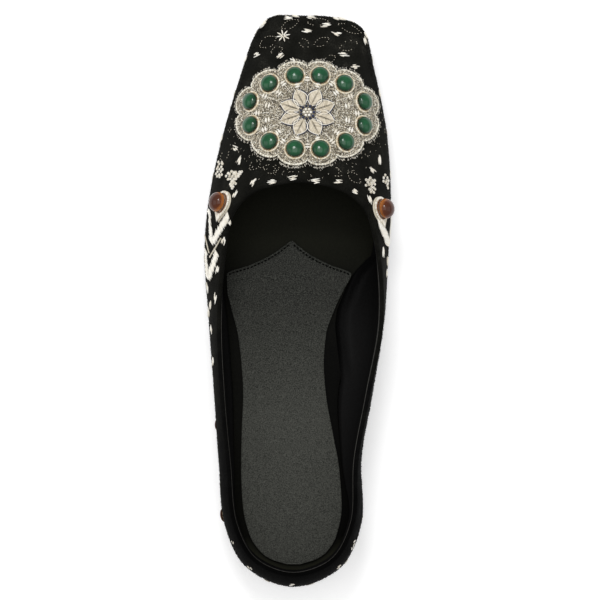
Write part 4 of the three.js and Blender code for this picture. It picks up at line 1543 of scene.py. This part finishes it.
# %% Dashes
DASHES = (
    # side, distance from the back of the heel, angle in degrees from the inner side
    (-1.8, 256.8, -10),
    (9.0, 257.0, 0),
    (22.3, 256.4, -6),
    (-12.6, 253.8, 18),
    (15.3, 253.5, 14),
    (6.5, 251.0, -26),
    (20.7, 249.6, -18),
    (33.4, 246.0, -52),
    (-15.8, 240.1, 10),
    (-5.0, 239.7, 26),
    (0.6, 237.4, -42),
    (23.9, 240.1, -14),
    (29.0, 234.7, 4),
    (-31.6, 201.6, 62),
    (-25.0, 197.6, -26),
    (-23.4, 192.1, 66),
    (39.8, 192.1, -68),
    (36.6, 187.8, -24),
    (-17.4, 182.2, 60),
    (0.7, 184.4, 12),
    (-9.3, 182.6, 0),
    (11.2, 183.0, 2),
    (21.0, 182.8, -10),
    (29.3, 177.8, -22),
    (35.3, 174.9, -66),
    (-25.6, 176.7, 66),
    (-28.5, 164.7, -70),
    (-30.6, 156.1, 66),
    (-33.3, 142.8, 70),
    (-37.8, 134.6, 88),
    (-34.2, 130.1, 72),
    (-36.1, 115.6, 74),
    (-36.5, 126.6, 58),
    (-37.2, 123.8, 84),
    (-35.3, 101.4, 80),
    (41.4, 151.2, 84),
    (43.3, 146.6, 86),
    (43.0, 141.6, 88),
)
DASH_LENGTH = 5.0
DASH_OFFSETS = (-0.8, -0.27, 0.27, 0.8)  # how far each of its strands lies beside its middle
DASH_STRAND = (0.52, 0.6)  # width and height
DASH_PROUD = 0.25  # middle of a strand above the velvet
STAR = (-3.7, 248.7)
STAR_ARMS, STAR_TURN = 8, 12
STAR_STRAND = (3.2, 0.62, 0.65)  # length, width and height
STAR_OUT = 1.7  # from the middle of the star to the middle of an arm
SATIN_PROUD = 0.3

dashes = Chart()
for side, back, degrees in DASHES:
    spot, normal = seen(side, back)
    along = flat_to(heading(degrees), normal)
    across = np.cross(normal, along)
    for offset in DASH_OFFSETS:
        shift = along * rng.uniform(-1.0, 1.0) + across * offset + normal * DASH_PROUD
        lean = along + across * rng.uniform(-0.3, 0.3)
        dashes.lay(spot + shift, lean, normal, DASH_LENGTH * rng.uniform(0.4, 0.95), *DASH_STRAND)
spot, normal = seen(*STAR)
for arm in range(STAR_ARMS):
    along = flat_to(heading(arm * 360 / STAR_ARMS + STAR_TURN), normal)
    dashes.lay(spot + along * STAR_OUT + normal * SATIN_PROUD, along, normal, *STAR_STRAND)
dashes.sew("velvet_dashes", IVORY, "ivory_thread")

# %% Knots
KNOT_CLUSTERS = (
    # side, distance from the back of the heel, half width, half length, lean of the cluster
    (-32.3, 188.2, 1.9, 3.7, 0.1),
    (-26.6, 185.2, 2.6, 2.2, 0.0),
    (-24.0, 186.0, 2.3, 2.0, 0.0),
    (-26.2, 181.6, 1.7, 2.0, 0.2),
    (35.4, 182.4, 2.5, 2.4, 0.0),
    (36.4, 179.0, 1.7, 2.0, 0.0),
    (42.5, 183.2, 1.4, 3.9, -0.1),
)
KNOT = 1.3  # from one knot to the next
KNOT_ROW = 0.87 * KNOT  # from one row of knots to the next
KNOT_STRANDS = 5
KNOT_RADIUS, KNOT_PROUD = 0.46, 0.4
KNOT_STRAND = (0.85, 0.44, 0.8)  # length, width and height

knots = Chart()
for side, back, half_width, half_length, lean in KNOT_CLUSTERS:
    for row in range(-4, 5):
        for step in range(-3, 4):
            right_step = (step + 0.5 * (row % 2)) * KNOT + rng.uniform(-0.3, 0.3)
            ahead_step = row * KNOT_ROW + rng.uniform(-0.3, 0.3)
            if (right_step / half_width) ** 2 + (ahead_step / half_length) ** 2 > 1:
                continue
            spot, normal = seen(side + right_step + lean * ahead_step, back + ahead_step)
            across = flat_to((1, 0), normal)
            start = rng.uniform(0, 2 * math.pi)
            for outward, along in ring_of(across, np.cross(normal, across), KNOT_STRANDS, start):
                middle = spot + outward * KNOT_RADIUS + normal * KNOT_PROUD
                knots.lay(middle, along + normal * 0.15, normal, *KNOT_STRAND, rng.uniform(0.0, 0.8))
knots.sew("velvet_knots", IVORY, "ivory_thread", sides=6, bands=4)

# %% Chevrons
CHEVRONS = (
    # from side, back, to side, back, width of the arm, tone of the thread
    (-36.8, 169.4, -36.0, 155.4, 6.4, 0.6),
    (-28.4, 167.8, -35.2, 155.6, 4.6, 0.6),
    (-39.0, 158.8, -37.0, 150.4, 0.7, 0.0),
    (-31.6, 157.2, -36.8, 148.4, 0.7, 0.0),
    (-33.4, 150.8, -37.2, 139.4, 5.0, 0.6),
    (-38.5, 151.8, -37.8, 139.4, 6.2, 0.6),
)
CHEVRON_PITCH = 0.4
CHEVRON_STRAND, ARM_STRAND = (0.5, 0.7), (0.56, 0.7)  # width and height
INNER_ARM = (166.0, 154.4)  # distances between which the arm on the inner shoulder runs
INNER_ARM_TOP = ((153.6, 155.6, 160.9, 166.2), (42.6, 41.5, 39.3, 38.5))  # distances, then sides
INNER_ARM_FOOT = ((152.4, 155.6, 160.9, 165.4), (44.7, 44.5, 42.7, 40.4))
INNER_ARM_SLANT = 1.2
LOWER_ARM = ((17.12, 0.36), (17.72, 0.5))  # section and height at its two ends
LOWER_ARM_STITCH = (0.06, -0.12)  # section and height from one end of a stitch to the other
ARM_STITCHES = 32

chevrons = Chart()
for side_a, back_a, side_b, back_b, width, tone in CHEVRONS:
    line = np.linspace((side_a, back_a), (side_b, back_b), 60)
    for at, along in zip(*spaced(line, CHEVRON_PITCH)):
        spot, normal = seen(*at)
        forward = flat_to(along, normal)
        across = np.cross(normal, forward)
        slanted = 0.8 * across + (0.6 + rng.uniform(-0.12, 0.12)) * forward
        length = max(0.9, width * rng.uniform(0.8, 1.3))
        middle = spot + normal * SATIN_PROUD + across * width * rng.uniform(-0.08, 0.08)
        chevrons.lay(middle, slanted, normal, length, *CHEVRON_STRAND, tone + rng.uniform(-0.15, 0.25))


def bridge(first, second):
    """One satin stitch between two places on the velvet, each given with its outward direction."""
    out = unit(first[1] + second[1])
    span = second[0] - first[0]
    reach = np.linalg.norm(span)
    middle, _ = to_velvet((first[0] + second[0]) / 2, out)
    tone = 0.6 + rng.uniform(-0.15, 0.25)
    chevrons.lay(middle + out * SATIN_PROUD, span / reach, out, reach * 1.03, *ARM_STRAND, tone)


for back in np.linspace(*INNER_ARM, ARM_STITCHES):
    top, foot = np.interp(back, *INNER_ARM_TOP), np.interp(back - INNER_ARM_SLANT, *INNER_ARM_FOOT)
    bridge(seen(top, back), seen(foot, back - INNER_ARM_SLANT))
for start in np.linspace(*LOWER_ARM, ARM_STITCHES):
    bridge(on_wall(*start)[:2], on_wall(*(start + LOWER_ARM_STITCH))[:2])
chevrons.sew("velvet_chevrons", IVORY, "ivory_thread", sides=6, bands=5)

# %% Dotted leaves
LEAVES = (
    # side, distance from the back of the heel, angle in degrees, length, half width
    (-10.6, 246.0, 30, 9, 2.4),
    (5.7, 245.5, -35, 6, 1.8),
    (13.6, 246.0, 26, 8, 1.8),
    (25.8, 244.3, 20, 9, 2.2),
    (-6.6, 242.2, 18, 6, 1.6),
    (-0.6, 254.0, 24, 9, 1.8),
    (12.0, 255.0, 4, 10, 1.6),
    (26.4, 252.0, -22, 12, 1.6),
    (17.4, 238.3, 24, 6, 1.6),
    (-9.7, 188.4, -20, 7, 1.9),
    (-0.4, 188.6, -12, 6, 1.4),
    (20.1, 187.2, -26, 7, 1.8),
    (-16.4, 190.4, 40, 7, 1.8),
    (28.4, 184.6, -40, 8, 1.8),
    (-30.2, 194.6, 50, 6, 1.5),
)
DROPPED = 0.22  # share of running stitches that the pile hides
LEAF_PITCH = 1.15
LEAF_PROUD = 0.1
LEAF_STITCH = (0.62, 0.23, 0.23)  # length, width and height

dots = Chart()
share = np.linspace(0, 1, 40)[:, None]
for side, back, degrees, length, half in LEAVES:
    axis = heading(degrees)
    across = np.array([-axis[1], axis[0]])
    for hand in (-1, 1):
        line = np.array([side, back]) + axis * length * (share - 0.5)
        line = line + across * hand * half * np.sin(math.pi * share)
        for at, along in zip(*spaced(line, LEAF_PITCH)):
            if rng.uniform() < DROPPED:
                continue
            spot, normal = seen(*at)
            dots.lay(spot + normal * LEAF_PROUD, flat_to(along, normal), normal, *LEAF_STITCH, tone=0.0)
dots.sew("velvet_dotted_leaves", IVORY, "ivory_thread", sides=6, bands=4)

# %% [markdown]
# Ends of thread stand up through the pile round the applique as pale specks, fewer with distance.

# %% Specks
SPECKS = 90
SPECK_SIDES, SPECK_BACKS = (-34, 44), (183, 214)
SPECK_THICK, SPECK_PROUD = 0.18, 0.08
THIN_OUT = 7.0  # how fast they thin out beyond the rim

specks = Chart()
while len(specks.rows) < SPECKS:
    side, back = rng.uniform(*SPECK_SIDES), rng.uniform(*SPECK_BACKS)
    away = np.linalg.norm((np.array([side, back]) - MEDALLION_MIDDLE) / (MEDALLION_HALF + SCALLOP))
    hit, normal, _, _ = wall_tree.ray_cast(EYE, (Vector((side, back, FOOTBED_HEIGHT)) - EYE).normalized())
    if hit is None or normal.z < 0.2 or away < 1.02 or rng.uniform() > math.exp(THIN_OUT * (1.0 - away)):
        continue
    spot, normal = np.array(hit), np.array(normal)
    along = flat_to(heading(rng.uniform(0, 180)), normal)
    length, tone = rng.uniform(0.3, 1.1), rng.uniform(-0.2, 0.2)
    specks.lay(spot + normal * SPECK_PROUD, along, normal, length, SPECK_THICK, SPECK_THICK, tone)
specks.sew("velvet_specks", IVORY, "ivory_thread", sides=5, bands=3)

# %% [markdown]
# The same thread runs on along the walls and round the back, where the photograph shows only its edge:
# dashes of three strands, alternately high and low, and finer pairs at the heel.

# %% Stitches on the walls
WALL_RUNS = (
    # first section, last section, step, the two heights, the two leans
    (1.4, 4.6, 0.42, (0.12, 0.2), (0.9, -0.7)),
    (4.7, 6.2, 0.42, (0.2, 0.34), (0.9, -0.7)),
    (18.4, 22.2, 0.5, (0.12, 0.2), (0.9, -0.7)),
    (7.6, 16.6, 0.6, (0.22, 0.34), (0.5, -0.4)),
    (22.4, 25.3, 0.42, (0.14, 0.28), (0.9, -0.7)),
)
WALL_DASH = (4.0, (-0.5, 0.0, 0.5), 0.5)  # length, offsets of its strands, width
HEEL_DASHES = ((1.62, 0.9), (0.93, 0.5), (0.02, 0.1), (22.4, -0.9), (22.5, 0.7), (23.02, -0.4))
HEEL_DASH = (2.4, (-0.9, 0.7), 0.2)
HEEL_DASH_UP = 0.64
wall_stitches = Chart()


def wall_dash(section, up, lean, length, offsets, width):
    """A dash of loose strands at a section and height, leaning up from the way to the toe."""
    spot, normal, forward, rise = on_wall(section, up)
    for offset in offsets:
        turned = lean + rng.uniform(-0.25, 0.25)
        along = forward * math.cos(turned) + rise * math.sin(turned)
        across = np.cross(normal, along)
        middle = spot + across * offset + along * rng.uniform(-0.5, 0.5) + normal * DASH_PROUD
        wall_stitches.lay(middle, along, normal, length * rng.uniform(0.7, 1.0), width, 0.6)


for first, last, step, heights, leans in WALL_RUNS:
    for k, section in enumerate(np.arange(first, last, step)):
        wall_dash(section, heights[k % 2], leans[k % 2], *WALL_DASH)
for section, lean in HEEL_DASHES:
    wall_dash(section, HEEL_DASH_UP, lean, *HEEL_DASH)
wall_stitches.sew("wall_stitches", IVORY, "ivory_thread")

# %% [markdown]
# Velvet ends in a soft edge, because its cut pile stands up from the cloth. A fringe of short fibres is
# laid where the wall turns out of sight from above and from the sides.

# %% Pile
PILE_FIBRES = 7000
PILE_UP = (0.16, 0.46)  # heights between which the fibres stand
FIBRE_THICK = 0.2

pile = Chart()
fibre_turn = rng.uniform(0, 1, PILE_FIBRES)
fibre_up = rng.uniform(*PILE_UP, PILE_FIBRES)
roots, outs, rises = last_seat(fibre_turn, fibre_up)
lean_up = rng.uniform(-0.6, 0.6, (PILE_FIBRES, 1))
lean_side = rng.uniform(-0.6, 0.6, (PILE_FIBRES, 1))
fibres = outs + lean_up * rises + lean_side * np.cross(outs, rises)
for root, along, rise in zip(roots, fibres, rises):
    length, tone = rng.uniform(0.5, 1.1), rng.uniform(-0.3, 0.2)
    pile.lay(root, along, rise, length, FIBRE_THICK, FIBRE_THICK, tone)
pile.sew("velvet_pile", CHARCOAL, "velvet", sides=4, bands=3)
